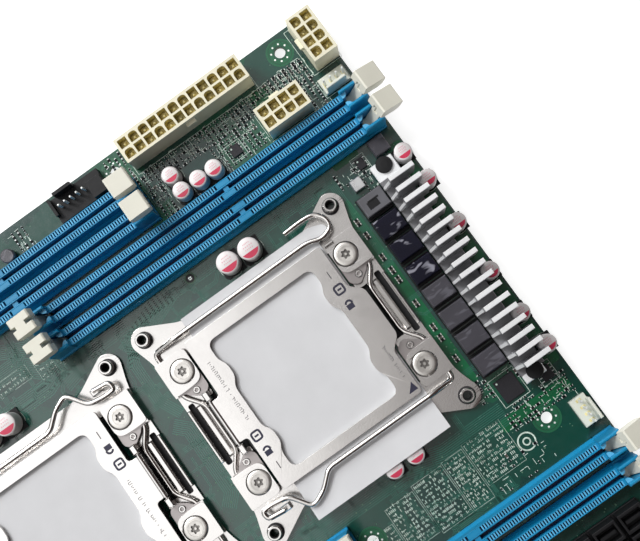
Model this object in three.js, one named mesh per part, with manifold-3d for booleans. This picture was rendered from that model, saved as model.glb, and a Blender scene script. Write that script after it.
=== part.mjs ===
// A dual-socket ATX server mainboard as an assembly of named parts.
// Units are millimetres. +X runs along the long slots towards the processor power
// side, +Y runs to the edge with the main power socket, +Z points away from the
// component side. The origin is the centre of the bare board's underside.
import * as THREE from "three";
import { mergeVertices } from "three/addons/utils/BufferGeometryUtils.js";
import Module from "manifold-3d";

const wasm = await Module();
wasm.setup();

// ---------------------------------------------------------------- driving sizes

const BOARD = { width: 254, height: 304.8, thick: 1.6, corner: 1.2 };
const TOP = BOARD.thick;
const GAP = 0.3; // clearance between parts that rest on each other
const UNDER = 2.3; // how far the lowest tails and plates stand below the board

// ATX fixing holes: a rear column, a middle column and a front column.
const FIXING = { radius: 1.98, columns: [-116.84, 38.1, 110.49], rows: [146.05, -11.43, -135.89] };
const REAR_TOP_HOLE_Y = 123.19;
const TOOL_HOLE = { x: 38.3, y: 99, radius: 1.1 };

// Processor sockets: the second one is turned half round.
const SOCKETS = [
  { id: "1", x: 53, y: 50.3, turn: 0, sheetEnd: -45 },
  { id: "2", x: -42.9, y: 50, turn: Math.PI, sheetEnd: -30 },
];
const ILM = {
  stud: 40, // square pattern of the cooler studs, centre to stud
  screwX: 34.6,
  screwY: 23,
  edgeX: 41.9,
  edgeY: 37.4,
  ear: 4.8,
  plate: 1.5,
  coverTop: 5.35,
  axleX: 39.6,
  axleZ: 3.05,
  wire: 1.0,
  crankX: 34.8,
};
const HOUSING = { x: 28.2, y: 26, z: 4.7 };
const LOAD = { x: 28.7, bulge: 33, top: 30.4, bottom: 30, z0: 5.6, z1: 7, hingeX: 32.6, hingeZ: 6.3 };
const SHEET = { x0: -25, x1: 29.3, y1: 38, thick: 0.3, z: 5 };

// Memory sockets: one contact row is 123.2 long, the key sits 47 from its right end.
const ROW = 123.2;
const KEY_FROM_RIGHT = 49.5;
const DIMM = {
  top: 8,
  half: 3.3,
  foot: 4.3,
  cheek: 3.6,
  channel: 2.4,
  tower: 12.6,
  headHalf: 3.7,
  end: 8.8,
  pivot: 4.8,
  pivotZ: 3.2,
};
const LATCH_TILT = { closed: 0, ajar: 6, open: 20 };
const DIMMS = [
  { id: "a1", right: 116.7, y: 115.8, left: "ajar", rightState: "open" },
  { id: "a2", right: 116.7, y: 105.9, left: "ajar", rightState: "open" },
  { id: "b1", right: 33.6, y: 135.9, left: "closed", rightState: "closed" },
  { id: "b2", right: 33.6, y: 126.3, left: "closed", rightState: "closed" },
  { id: "c1", right: 117.4, y: -29.7, left: "closed", rightState: "open" },
  { id: "c2", right: 117.4, y: -39.85, left: "closed", rightState: "open" },
  { id: "d1", right: 25, y: -6.4, left: "closed", rightState: "closed" },
  { id: "d2", right: 25, y: -16.5, left: "closed", rightState: "closed" },
];

const POWER_PITCH = 4.2;
const POWER = [
  { name: "atx_power_socket", x: 70.8, y: 146.7, columns: 12, turn: 0, key: -1 },
  { name: "cpu_power_socket_1", x: 122.2, y: 141.4, columns: 4, turn: Math.PI / 2, key: 1 },
  { name: "cpu_power_socket_2", x: 99.45, y: 126.6, columns: 4, turn: 0, key: 1 },
];

const PCIE_X1 = 7; // end of the card slots nearest the middle of the board
const PCIE_LONG = 89;
const PCIE_SHORT = 56;
const PCIE_ROW_Y = -56.2;
const PCIE_PITCH = 20.32;

// ---------------------------------------------------------------- solid helpers

const toSolid = (geometry) => {
  const flat = geometry.index ? geometry.toNonIndexed() : geometry;
  const bare = new THREE.BufferGeometry().setAttribute("position", flat.getAttribute("position"));
  const merged = mergeVertices(bare, 1e-4);
  return new wasm.Manifold(
    new wasm.Mesh({
      numProp: 3,
      vertProperties: new Float32Array(merged.attributes.position.array),
      triVerts: new Uint32Array(merged.index.array),
    }),
  );
};

const toGeometry = (solid) => {
  const mesh = solid.getMesh();
  const position = new Float32Array(mesh.numVert * 3);
  for (let i = 0; i < mesh.numVert; i++) {
    const from = i * mesh.numProp;
    position.set(mesh.vertProperties.subarray(from, from + 3), i * 3);
  }
  const indexed = new THREE.BufferGeometry()
    .setAttribute("position", new THREE.BufferAttribute(position, 3))
    .setIndex(new THREE.BufferAttribute(new Uint32Array(mesh.triVerts), 1));
  const flat = indexed.toNonIndexed();
  flat.computeVertexNormals();
  return flat;
};

const join = (...parts) => toGeometry(wasm.Manifold.union(parts.map(toSolid)));
const cut = (from, ...tools) =>
  toGeometry(toSolid(from).subtract(wasm.Manifold.union(tools.map(toSolid))));

const block = (x0, x1, y0, y1, z0, z1) =>
  new THREE.BoxGeometry(x1 - x0, y1 - y0, z1 - z0).translate(
    (x0 + x1) / 2,
    (y0 + y1) / 2,
    (z0 + z1) / 2,
  );

const rod = (x, y, radius, z0, z1, sides = 20) =>
  new THREE.CylinderGeometry(radius, radius, z1 - z0, sides)
    .rotateX(Math.PI / 2)
    .translate(x, y, (z0 + z1) / 2);

// A rod along Y.
const pinY = (x, z, radius, y0, y1, sides = 12) =>
  new THREE.CylinderGeometry(radius, radius, y1 - y0, sides).translate(x, (y0 + y1) / 2, z);

// A tapered round: radius r0 at z0 and r1 at z1.
const cone = (x, y, r0, r1, z0, z1, sides = 24) =>
  new THREE.CylinderGeometry(r1, r0, z1 - z0, sides)
    .rotateX(Math.PI / 2)
    .translate(x, y, (z0 + z1) / 2);

const shapeOf = (points) => new THREE.Shape(points.map(([x, y]) => new THREE.Vector2(x, y)));

const prism = (points, z0, z1, holes = []) => {
  const shape = Array.isArray(points) ? shapeOf(points) : points;
  holes.forEach((hole) => shape.holes.push(hole));
  const options = { depth: z1 - z0, bevelEnabled: false, curveSegments: 6 };
  return new THREE.ExtrudeGeometry(shape, options).translate(0, 0, z0);
};

// Profile points are [y, z], carried along X.
const alongX = (points, x0, x1) => {
  const basis = new THREE.Matrix4().makeBasis(
    new THREE.Vector3(0, 1, 0),
    new THREE.Vector3(0, 0, 1),
    new THREE.Vector3(1, 0, 0),
  );
  return prism(points, 0, x1 - x0).applyMatrix4(basis).translate(x0, 0, 0);
};

// Profile points are [x, z], carried along Y.
const alongY = (points, y0, y1) => {
  const basis = new THREE.Matrix4().makeBasis(
    new THREE.Vector3(1, 0, 0),
    new THREE.Vector3(0, 0, 1),
    new THREE.Vector3(0, -1, 0),
  );
  return prism(points, 0, y1 - y0).applyMatrix4(basis).translate(0, y1, 0);
};

const circleHole = (x, y, radius) => {
  const hole = new THREE.Path();
  hole.absarc(x, y, radius, 0, 2 * Math.PI, true);
  return hole;
};

// A closed outline mirrored from its first quadrant, given from the +X side to the +Y side.
const fourfold = (quadrant) => {
  const mirrorX = quadrant.map(([x, y]) => [-x, y]).reverse();
  const upper = [...quadrant, ...mirrorX];
  const lower = upper.map(([x, y]) => [x, -y]).reverse();
  return [...upper, ...lower];
};

const arc = (cx, cy, radius, from, to, steps) =>
  Array.from({ length: steps + 1 }, (_, i) => {
    const angle = THREE.MathUtils.degToRad(from + ((to - from) * i) / steps);
    return [cx + radius * Math.cos(angle), cy + radius * Math.sin(angle)];
  });

// A bent wire's centre line: straight runs with each corner rounded off.
const rounded = (corners, radius, steps = 2) => {
  const points = corners.map((c) => new THREE.Vector3(...c));
  const route = [points[0]];
  for (let i = 1; i < points.length - 1; i++) {
    const here = points[i];
    const back = points[i - 1].clone().sub(here);
    const on = points[i + 1].clone().sub(here);
    const reach = Math.min(radius, back.length() * 0.45, on.length() * 0.45);
    const a = here.clone().addScaledVector(back.normalize(), reach);
    const b = here.clone().addScaledVector(on.normalize(), reach);
    const bend = new THREE.QuadraticBezierCurve3(a, here, b);
    route.push(...bend.getPoints(steps));
  }
  route.push(points[points.length - 1]);
  return route;
};

class Route extends THREE.Curve {
  constructor(points) {
    super();
    this.points = points;
  }
  at(i) {
    return this.points[THREE.MathUtils.clamp(i, 0, this.points.length - 1)];
  }
  getPointAt(u) {
    return this.at(Math.round(u * (this.points.length - 1))).clone();
  }
  getTangentAt(u) {
    const i = Math.round(u * (this.points.length - 1));
    const before = this.at(i).clone().sub(this.at(i - 1)).normalize();
    const after = this.at(i + 1).clone().sub(this.at(i)).normalize();
    return before.add(after).normalize();
  }
}

const wire = (corners, bend, radius, sides = 8) => {
  const route = new Route(rounded(corners, bend));
  const ring = shapeOf(arc(0, 0, radius, 0, 360 - 360 / sides, sides - 1));
  return new THREE.ExtrudeGeometry(ring, { steps: route.points.length - 1, extrudePath: route });
};

// ---------------------------------------------------------------- materials

const material = (color, roughness, metalness = 0) =>
  new THREE.MeshStandardMaterial({ color, roughness, metalness });

const COLORS = {
  board: () => material(0x1c5a41, 0.45),
  blackPlastic: () => material(0x17181a, 0.5),
  bluePlastic: () => material(0x1f8fbf, 0.45),
  ivoryPlastic: () => material(0xe2ddca, 0.45),
  creamPlastic: () => material(0xd8cfae, 0.5),
  whitePlastic: () => material(0xeceae0, 0.5),
  nickel: () => material(0xc9c4bb, 0.3, 1),
  wire: () => material(0xd8d8d4, 0.22, 1),
  darkSteel: () => material(0x55575a, 0.45, 1),
  card: () => material(0xe4e6e8, 0.7),
  aluminium: () => material(0xcfd1d3, 0.35, 1),
  shell: () => material(0xbfc2c4, 0.28, 1),
  cell: () => material(0xd2d2ce, 0.25, 1),
};

const group = new THREE.Group();
group.name = "mainboard";

const add = (name, geometry, paint, x = 0, y = 0, z = 0, turn = 0, parent = group) => {
  const mesh = new THREE.Mesh(geometry, paint);
  mesh.name = name;
  mesh.position.set(x, y, z);
  mesh.rotation.z = turn;
  parent.add(mesh);
  return mesh;
};

// ---------------------------------------------------------------- bare board

const dimmPegs = (slot) => [
  [slot.right - ROW + 22, slot.y],
  [slot.right - 20, slot.y],
];

const pcieSlots = () =>
  Array.from({ length: 5 }, (_, i) => ({
    name: `card_slot_${i + 1}`,
    y: PCIE_ROW_Y - i * PCIE_PITCH,
    length: i % 2 ? PCIE_SHORT : PCIE_LONG,
  }));

const pciePegs = (slot) => [
  [PCIE_X1 - 4, slot.y],
  [PCIE_X1 - slot.length + 14, slot.y],
];

function bareBoard() {
  const { width, height, thick, corner } = BOARD;
  const outline = new THREE.Shape();
  const x = width / 2;
  const y = height / 2;
  outline.moveTo(-x + corner, -y);
  outline.lineTo(x - corner, -y);
  outline.absarc(x - corner, -y + corner, corner, -Math.PI / 2, 0);
  outline.lineTo(x, y - corner);
  outline.absarc(x - corner, y - corner, corner, 0, Math.PI / 2);
  outline.lineTo(-x + corner, y);
  outline.absarc(-x + corner, y - corner, corner, Math.PI / 2, Math.PI);
  outline.lineTo(-x, -y + corner);
  outline.absarc(-x + corner, -y + corner, corner, Math.PI, 1.5 * Math.PI);

  const holes = [];
  for (const column of FIXING.columns) {
    for (const row of FIXING.rows) {
      const rearTop = column === FIXING.columns[0] && row === FIXING.rows[0];
      holes.push(circleHole(column, rearTop ? REAR_TOP_HOLE_Y : row, FIXING.radius));
    }
  }
  holes.push(circleHole(TOOL_HOLE.x, TOOL_HOLE.y, TOOL_HOLE.radius));
  for (const socket of SOCKETS) {
    for (const [sx, sy] of fourfold([[ILM.screwX, ILM.screwY]])) {
      holes.push(circleHole(socket.x + sx, socket.y + sy, 2.3));
    }
  }
  const pegs = [...DIMMS.flatMap(dimmPegs), ...pcieSlots().flatMap(pciePegs)];
  pegs.forEach(([px, py]) => holes.push(circleHole(px, py, 1.25)));
  return prism(outline, 0, thick, holes);
}

add("board", bareBoard(), COLORS.board());

// ---------------------------------------------------------------- processor sockets

function socketHousing() {
  const { x, y, z } = HOUSING;
  const body = block(-x, x, -y, y, GAP, z);
  const well = block(-22.4, 22.4, -21, 21, 2.3, z + 1);
  const middle = block(-6, 6, -5, 5, 1.4, z + 1);
  const keys = [-1, 1].map((s) => block(s * 22.9 - 1, s * 22.9 + 1, -1.5, 1.5, 2.3, z + 1));
  return cut(body, well, middle, ...keys);
}

// The independent loading mechanism's frame: a stamped ring with ears for the cooler
// studs, four raised covers over the lever axles and lugs for the load plate's hinge.
function ilmFrame() {
  const { stud, edgeX, edgeY, ear, plate, coverTop, axleX, wire: r } = ILM;
  const z0 = GAP;
  const z1 = z0 + plate;
  const quadrant = [
    [edgeX, 4],
    [edgeX, 30],
    ...arc(stud, stud, ear, -14, 104, 7),
    [25, edgeY],
    [6, edgeY],
  ];
  const window = [
    [38.3, 4],
    [38.3, 10.8],
    [29, 10.8],
    [29, 27.2],
    [6, 27.2],
  ];
  const ring = prism(fourfold(quadrant), z0, z1, [
    new THREE.Path(fourfold(window).map(([x, y]) => new THREE.Vector2(x, y))),
  ]);
  const cover = [
    [29.7, 29.8],
    [edgeX, 29.8],
    [edgeX, 16.4],
    [38.2, 16],
    [37.6, 14.9],
    [32.9, 11.6],
    [29.7, 13.8],
  ];
  const solids = [ring];
  const tools = [];
  for (const sx of [-1, 1]) {
    for (const sy of [-1, 1]) {
      const points = cover.map(([x, y]) => [sx * x, sy * y]);
      solids.push(prism(sx * sy < 0 ? points : points.reverse(), z1 - 0.2, coverTop));
      solids.push(rod(sx * stud, sy * stud, 2.8, z0, 6, 14));
      tools.push(rod(sx * stud, sy * stud, 1.7, z0 - 1, 7, 10));
      tools.push(rod(sx * ILM.screwX, sy * ILM.screwY, 2.4, z0 - 1, coverTop + 1, 10));
      tools.push(rod(sx * ILM.screwX, sy * ILM.screwY, 4.3, 3.9, coverTop + 1, 18));
      const [y0, y1] = sy > 0 ? [10, 31] : [-31, -10];
      const inner = sx * (axleX - r - 0.3);
      const outer = sx * (axleX + r + 0.3);
      tools.push(block(Math.min(inner, outer), Math.max(inner, outer), y0, y1, z1, 4.35));
    }
    const lip = [sx * (edgeX - 1.1), sx * edgeX].sort((a, b) => a - b);
    solids.push(block(...lip, -10.6, 10.6, z1 - 0.2, 3.4));
  }
  // Hinge lugs on the -X side and the two catches that hold the closed levers.
  for (const sy of [-1, 1]) {
    const y = [sy * 9.1, sy * 12.6].sort((a, b) => a - b);
    solids.push(block(-LOAD.hingeX - 1, -LOAD.hingeX + 1.2, ...y, 2.6, LOAD.hingeZ + 1));
    const bore = [sy * 8, sy * 10.6].sort((a, b) => a - b);
    tools.push(pinY(-LOAD.hingeX, LOAD.hingeZ, 0.66, ...bore));
  }
  solids.push(block(30, 33.6, 28.6, 29.7, coverTop - 0.2, 7.6));
  solids.push(block(-34, -30.4, -36.6, -34.2, z1 - 0.2, 4.4));
  return cut(join(...solids), ...tools);
}

// The load plate: a stamped sheet with the processor's window, a rolled edge on the
// hinge side and stub pins that turn in the frame's lugs.
function loadPlate() {
  const { x, bulge, top, bottom, z0, z1, hingeX, hingeZ } = LOAD;
  const freeEdge = [
    [x, 13.4],
    [x + 0.8, 12],
    [bulge - 1.6, 11],
    [bulge, 9.4],
    [bulge, -9.4],
    [bulge - 1.6, -11],
    [x + 0.8, -12],
    [x, -13.4],
  ];
  const hingeEdge = [
    [-x, -8.4],
    [-hingeX, -8.4],
    [-hingeX, 8.4],
    [-x, 8.4],
  ];
  const outline = [
    ...freeEdge,
    ...arc(x - 1.6, -bottom + 1.6, 1.6, 0, -90, 2),
    ...arc(-x + 1.6, -bottom + 1.6, 1.6, -90, -180, 2),
    ...hingeEdge,
    ...arc(-x + 1.6, top - 1.6, 1.6, 180, 90, 2),
    ...arc(x - 1.6, top - 1.6, 1.6, 90, 0, 2),
  ].reverse();
  const half = [
    [22.3, 1],
    [22.3, 9],
    [20.1, 11.6],
    [20.1, 16.4],
    [21.9, 20.4],
    ...arc(18.2, 21.8, 3.9, 8, 82, 3),
    [4, 25.8],
  ];
  const window = new THREE.Path(fourfold(half).map(([px, py]) => new THREE.Vector2(px, py)));
  const shape = shapeOf(outline);
  shape.holes.push(window);
  const thin = 0.35;
  const sheet = new THREE.ExtrudeGeometry(shape, {
    depth: z1 - z0 - 2 * thin,
    bevelEnabled: true,
    bevelThickness: thin,
    bevelSize: thin,
    bevelOffset: -thin,
    bevelSegments: 1,
    curveSegments: 4,
  }).translate(0, 0, z0 + thin);
  const roll = pinY(-hingeX, hingeZ, 1, -8.4, 8.4);
  const stubs = pinY(-hingeX, hingeZ, 0.55, -10.4, 10.4);
  return join(sheet, roll, stubs);
}

// Each lever's crank lies inside the frame at the middle of its axle.
const axleRun = (side, from, to) => {
  const { axleX, axleZ, crankX } = ILM;
  const turn = Math.sign(to - from);
  return [
    [side * axleX, from, axleZ],
    [side * axleX, turn * -15.5, axleZ],
    [side * crankX, turn * -9.3, axleZ],
    [side * crankX, turn * 9.3, axleZ],
    [side * axleX, turn * 15.5, axleZ],
    [side * axleX, to, axleZ],
  ];
};

function hingeLever() {
  const z = 6.9;
  const route = [
    ...axleRun(-1, -28.5, 33.7),
    [-31, 33.7, z],
    [26, 33.7, z],
    [31.4, 31.8, z],
    [35.8, 33.4, z],
    [36.2, 37, z],
    [33.4, 40.7, z],
    [28, 41.1, z],
    [21.3, 40.8, z],
  ];
  return wire(route, 2.6, ILM.wire);
}

function activeLever() {
  const z = 7.3;
  const route = [
    ...axleRun(1, 28.5, -32.7),
    [31, -32.7, z],
    [-12.2, -32.7, z],
    [-17.9, -37.8, z],
    [-23.4, -40.1, z],
    [-28.7, -32.6, z],
    [-35.4, -31.6, z],
    [-38.9, -31.8, z],
    [-38.6, -34.9, z],
    [-32.3, -35.6, z],
  ];
  return wire(route, 2.4, ILM.wire);
}

// The backing plate under the board with its four star-head screws run through.
function backPlate() {
  const outer = fourfold([
    [41, 6],
    [41, 27],
    [36, 31],
    [6, 31],
  ]);
  const window = fourfold([
    [24, 4],
    [24, 16],
    [19, 20],
    [4, 20],
  ]);
  const hole = new THREE.Path(window.map(([x, y]) => new THREE.Vector2(x, y)));
  const plate = prism(outer, -UNDER - TOP, -GAP - TOP, [hole]);
  const screws = [];
  const drives = [];
  for (const [x, y] of fourfold([[ILM.screwX, ILM.screwY]])) {
    screws.push(rod(x, y, 1.9, -GAP - TOP - 0.5, 4.6, 10));
    screws.push(cone(x, y, 3.9, 3.5, 4.2, 5.9, 16));
    drives.push(rod(x, y, 1.5, 4.9, 7, 6));
  }
  return cut(join(plate, ...screws), ...drives);
}

// The card sheet that keeps dust out of the contacts, trapped under the load plate. Past the
// plate's edge it curls up; on the second socket it is trimmed flush with that edge.
function coverSheet(end) {
  const { x0, x1, y1, thick, z } = SHEET;
  const lift = (y) => (y < -30 ? ((-30 - y) / 15) ** 1.3 * 1.2 : 0);
  const stations = [y1, 10, -30, -34, -38, -42, -45].filter((y) => y >= end);
  const lower = stations.map((y) => [y, z + lift(y)]);
  const upper = stations.map((y) => [y, z + thick + lift(y)]).reverse();
  const sheet = alongX([...lower, ...upper].reverse(), x0, x1);
  const tab = prism(
    [[x1 - 1, 31.5], ...arc(32.6, 34.7, 2, -60, 80, 4), [x1 - 1, y1]],
    z,
    z + thick,
  );
  return join(sheet, tab);
}

for (const socket of SOCKETS) {
  const bay = new THREE.Group();
  bay.position.set(socket.x, socket.y, TOP);
  bay.rotation.z = socket.turn;
  group.add(bay);
  const place = (name, geometry, paint) =>
    add(`${name}_${socket.id}`, geometry, paint, 0, 0, 0, 0, bay);
  place("socket_housing", socketHousing(), COLORS.blackPlastic());
  place("socket_frame", ilmFrame(), COLORS.nickel());
  place("load_plate", loadPlate(), COLORS.nickel());
  place("hinge_lever", hingeLever(), COLORS.wire());
  place("active_lever", activeLever(), COLORS.wire());
  place("back_plate", backPlate(), COLORS.darkSteel());
  place("cover_sheet", coverSheet(socket.sheetEnd), COLORS.card());
}

// ---------------------------------------------------------------- memory sockets

// A housing lies along X with its contact rows from 0 to ROW.
function dimmHousing() {
  const { top, half, foot, cheek, channel, tower, end, pivot, pivotZ } = DIMM;
  const profile = [
    [-foot, GAP],
    [foot, GAP],
    [foot, 1.6],
    [half, 2.8],
    [half, top],
    [-half, top],
    [-half, 2.8],
    [-foot, 1.6],
  ];
  const solids = [alongX(profile, -1.5, ROW + 1.5)];
  const tools = [block(-5.4, ROW - KEY_FROM_RIGHT - 1, -0.8, 0.8, 3.2, top + 1)];
  tools.push(block(ROW - KEY_FROM_RIGHT + 1, ROW + 5.4, -0.8, 0.8, 3.2, top + 1));
  for (const side of [-1, 1]) {
    const at = (a, b) => {
      const edge = side < 0 ? 0 : ROW;
      return [edge + side * a, edge + side * b].sort((p, q) => p - q);
    };
    solids.push(block(...at(1, end), -cheek, cheek, GAP, tower));
    solids.push(block(...at(1, end), -foot, foot, GAP, 2));
    tools.push(block(...at(1.6, 8), -channel, channel, 1, tower + 1));
    tools.push(block(...at(7.9, end + 1), -channel, channel, 2.6, tower + 1));
    tools.push(pinY(at(pivot, pivot)[0], pivotZ, 0.95, -cheek - 1, cheek + 1, 8));
  }
  for (const x of [22, ROW - 20]) solids.push(rod(x, 0, 0.95, -TOP - UNDER, 1, 8));
  return cut(join(...solids), ...tools);
}

// A latch at a right-hand end, upright, turning about its trunnions at the origin.
// The left-hand ones have a thumb notch, and their module slot is open at the top.
function latch(notched) {
  const { pivot, pivotZ, channel, cheek, headHalf } = DIMM;
  const blade = [
    [3.3, 3.2],
    [6.6, 3.2],
    [6.9, 9.5],
    [7.6, 16.6],
    [3.9, 16.6],
    [3.9, 9.5],
  ];
  const head = [
    [3.4, 16.1],
    [8.2, 16.1],
    [9.8, 17.2],
    [10.1, 18.2],
    [10.1, 21.5],
    [9.6, 22],
    [2.2, 22],
    [1.7, 21.5],
    [1.7, 17.4],
  ];
  const toe = [
    [2, 2.4],
    [4.6, 1.7],
    [4.6, 4.6],
    [2, 3.8],
  ];
  const width = channel - 0.35;
  const body = join(
    alongY(blade, -width, width),
    alongY(toe, -width, width),
    alongY(head, -headHalf, headHalf),
    pinY(pivot, pivotZ, 2, -width, width, 10),
    pinY(pivot, pivotZ, 0.8, -cheek + 0.3, cheek - 0.3, 8),
  );
  const tools = [block(0, 4.3, -0.8, 0.8, 12, notched ? 23 : 19.5)];
  if (notched) tools.push(block(8.2, 11, -0.7, 0.7, 12, 23));
  return cut(body, ...tools).translate(-pivot, 0, -pivotZ);
}

for (const slot of DIMMS) {
  const left = slot.right - ROW;
  add(`memory_slot_${slot.id}`, dimmHousing(), COLORS.bluePlastic(), left, slot.y, TOP);
  const ends = [
    { name: "left", x: left - DIMM.pivot, turn: Math.PI, state: slot.left },
    { name: "right", x: slot.right + DIMM.pivot, turn: 0, state: slot.rightState },
  ];
  for (const end of ends) {
    const hub = new THREE.Group();
    hub.position.set(end.x, slot.y, TOP + DIMM.pivotZ);
    hub.rotation.z = end.turn;
    group.add(hub);
    const arm = add(`latch_${slot.id}_${end.name}`, latch(end.name === "left"), COLORS.ivoryPlastic());
    arm.rotation.y = THREE.MathUtils.degToRad(LATCH_TILT[end.state]);
    hub.add(arm);
  }
}

// ---------------------------------------------------------------- power sockets

function powerSocket(columns, key) {
  const x = (columns * POWER_PITCH) / 2 + 0.6;
  const y = POWER_PITCH + 0.6;
  const tall = 12.8;
  const wells = [];
  const pins = [];
  for (let i = 0; i < columns; i++) {
    for (const row of [-1, 1]) {
      const cx = (i - (columns - 1) / 2) * POWER_PITCH;
      const cy = (row * POWER_PITCH) / 2;
      wells.push(block(cx - 1.7, cx + 1.7, cy - 1.7, cy + 1.7, 3, tall + 1));
      pins.push(block(cx - 0.45, cx + 0.45, cy - 0.45, cy + 0.45, 2.5, 9.5));
    }
  }
  const body = cut(block(-x, x, -y, y, GAP, tall), ...wells);
  const ramp = [
    [key * (y - 0.2), 7.2],
    [key * (y + 1.3), 9.4],
    [key * (y + 1.3), 10.4],
    [key * (y - 0.2), 10.4],
  ];
  const nib = alongX(key > 0 ? ramp : ramp.reverse(), -1.9, 1.9);
  return join(body, nib, ...pins);
}

for (const p of POWER) {
  add(p.name, powerSocket(p.columns, p.key), COLORS.creamPlastic(), p.x, p.y, TOP, p.turn);
}

// ---------------------------------------------------------------- regulator heatsinks

// Fins stand across a rail that lies along Y; the rail's middle is the origin.
function finRail(fins, pitch) {
  const length = (fins - 1) * pitch;
  const end = length / 2 + 6.4;
  const rail = prism(
    [
      [-4.8, -end + 3.4],
      [-1.8, -end],
      [3.4, -end],
      [4.6, -end + 3.4],
      [4.6, end],
      [-4.8, end],
    ],
    3,
    5.6,
  );
  const profile = [
    [-4.9, 5.4],
    [7, 5.4],
    [7, 20],
    [-2.7, 20],
    [-2.7, 8.8],
    [-4.9, 8.2],
  ];
  const solids = [rail];
  for (let i = 0; i < fins; i++) {
    const y = i * pitch - length / 2;
    solids.push(alongY(profile, y - 0.85, y + 0.85));
  }
  for (const side of [-1, 1]) {
    const y = side * (length / 2 + 4.2);
    solids.push(rod(-0.6, y, 3, 5.4, 6.6, 20));
    solids.push(rod(-0.6, y, 1.5, 6.4, 8.4, 12));
  }
  return join(...solids);
}

add("regulator_heatsink_1", finRail(18, 4.42), COLORS.aluminium(), 116.1, 45.8, TOP);
add("regulator_heatsink_2", finRail(18, 4.42), COLORS.aluminium(), -103.6, 50, TOP, Math.PI);

function chipsetHeatsink() {
  const half = 20;
  const solids = [block(-half, half, -half, half, 2.4, 5)];
  for (let i = 0; i < 11; i++) {
    const x = -half + 0.6 + i * 3.88;
    solids.push(block(x - 0.6, x + 0.6, -half, half, 4.8, 13));
  }
  const pinCuts = [-1, 1].map((s) => rod(s * 15, s * -15, 4, 5, 14));
  return cut(join(...solids), ...pinCuts);
}

add("chipset_heatsink", chipsetHeatsink(), COLORS.aluminium(), 62, -84, TOP);

// ---------------------------------------------------------------- card slots

function cardSlot(length) {
  const y = 3.75;
  const tall = 11.2;
  const body = block(-length, 0, -y, y, GAP, tall);
  const tools = [
    block(-length + 1.6, -length + 12.6, -0.9, 0.9, 3, tall + 1),
    block(-length + 14.4, -1.8, -0.9, 0.9, 3, tall + 1),
    block(-length - 1, -length + 0.8, -1.9, 1.9, 6, tall + 1),
  ];
  const tail = [
    [0, GAP],
    [4.6, GAP],
    [4.6, 12.4],
    [3, 13.4],
    [0, 8],
  ];
  const pegs = [-4, 14 - length].map((x) => rod(x, 0, 0.95, -TOP - UNDER, 1, 8));
  return cut(join(body, alongY(tail, -1.4, 1.4), ...pegs), ...tools);
}

for (const slot of pcieSlots()) {
  add(slot.name, cardSlot(slot.length), COLORS.blackPlastic(), PCIE_X1, slot.y, TOP);
}

// ---------------------------------------------------------------- coin cell

function cellHolder() {
  const cup = cut(rod(0, 0, 12, GAP, 4.6, 32), rod(0, 0, 10.4, 1.4, 6, 32));
  const gate = cut(cup, block(4, 13, -4, 4, 1.4, 6));
  const clip = block(-13.4, -9.4, -3, 3, GAP, 5.4);
  return join(gate, cut(clip, rod(0, 0, 10.4, 1.4, 5, 32)));
}

add("cell_holder", cellHolder(), COLORS.blackPlastic(), 27, -62, TOP);
add("coin_cell", rod(0, 0, 10, 1.7, 4.9, 32), COLORS.cell(), 27, -62, TOP);

// ---------------------------------------------------------------- rear panel sockets

// Panel sockets face -X; local x = 0 is the panel face.
function videoSocket() {
  const base = block(1, 15, -15.5, 15.5, GAP, 12.5);
  const flange = block(0, 1.2, -15.5, 15.5, 0.6, 12.5);
  const shell = alongX(
    [
      [-8.2, 2.4],
      [8.2, 2.4],
      [8.9, 9.4],
      [-8.9, 9.4],
    ],
    -4.6,
    0.6,
  );
  const bore = alongX(
    [
      [-7.6, 2.9],
      [7.6, 2.9],
      [8.2, 8.9],
      [-8.2, 8.9],
    ],
    -6,
    -3.6,
  );
  const nuts = [-1, 1].map((s) =>
    new THREE.CylinderGeometry(2.4, 2.4, 5, 6).rotateZ(Math.PI / 2).translate(-2, s * 12.4, 6),
  );
  return cut(join(base, flange, shell, ...nuts), bore);
}

function usbPocket(z) {
  return [block(-1, 11, -6.4, 6.4, z, z + 5.2), block(-2, 9, -5.6, 5.6, z + 2, z + 3.6)];
}

function networkStack() {
  const body = block(0, 17, -8, 8, GAP, 28.5);
  const jack = cut(body, block(-1, 13, -5.9, 5.9, 17, 25.2), block(-1, 13, -2.6, 2.6, 15.6, 17.2));
  const [low, lowTongue] = usbPocket(1.4);
  const [high, highTongue] = usbPocket(8.6);
  const tongues = [lowTongue, highTongue].map((t) => t.translate(3, 0, 0));
  return join(cut(jack, low, high), ...tongues);
}

function usbStack() {
  const body = block(0, 17, -7.6, 7.6, GAP, 15.6);
  const [low, lowTongue] = usbPocket(1.4);
  const [high, highTongue] = usbPocket(8.6);
  const tongues = [lowTongue, highTongue].map((t) => t.translate(3, 0, 0));
  return join(cut(body, low, high), ...tongues);
}

const PANEL_X = -128.2;
add("video_socket", videoSocket(), COLORS.shell(), PANEL_X, 84, TOP);
add("usb_stack", usbStack(), COLORS.shell(), PANEL_X, 109, TOP);
add("network_stack_1", networkStack(), COLORS.shell(), PANEL_X, 56, TOP);
add("network_stack_2", networkStack(), COLORS.shell(), PANEL_X, 34, TOP);

// ---------------------------------------------------------------- headers and ports

// A four-pin fan header along X with its key wall on the +Y side.
function fanHeader() {
  const base = block(-5.1, 5.1, -3, 3, GAP, 3);
  const wall = block(-3.4, 4.4, 2, 3, 2.8, 9.6);
  const pins = [-3.81, -1.27, 1.27, 3.81].map((x) =>
    block(x - 0.32, x + 0.32, -0.32, 0.32, 2.6, 10.2),
  );
  return join(base, wall, ...pins);
}

add("fan_header_1", fanHeader(), COLORS.whitePlastic(), 120.1, 126, TOP, Math.PI);
add("fan_header_2", fanHeader(), COLORS.whitePlastic(), 122.2, -16.4, TOP, -Math.PI / 2);

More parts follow.
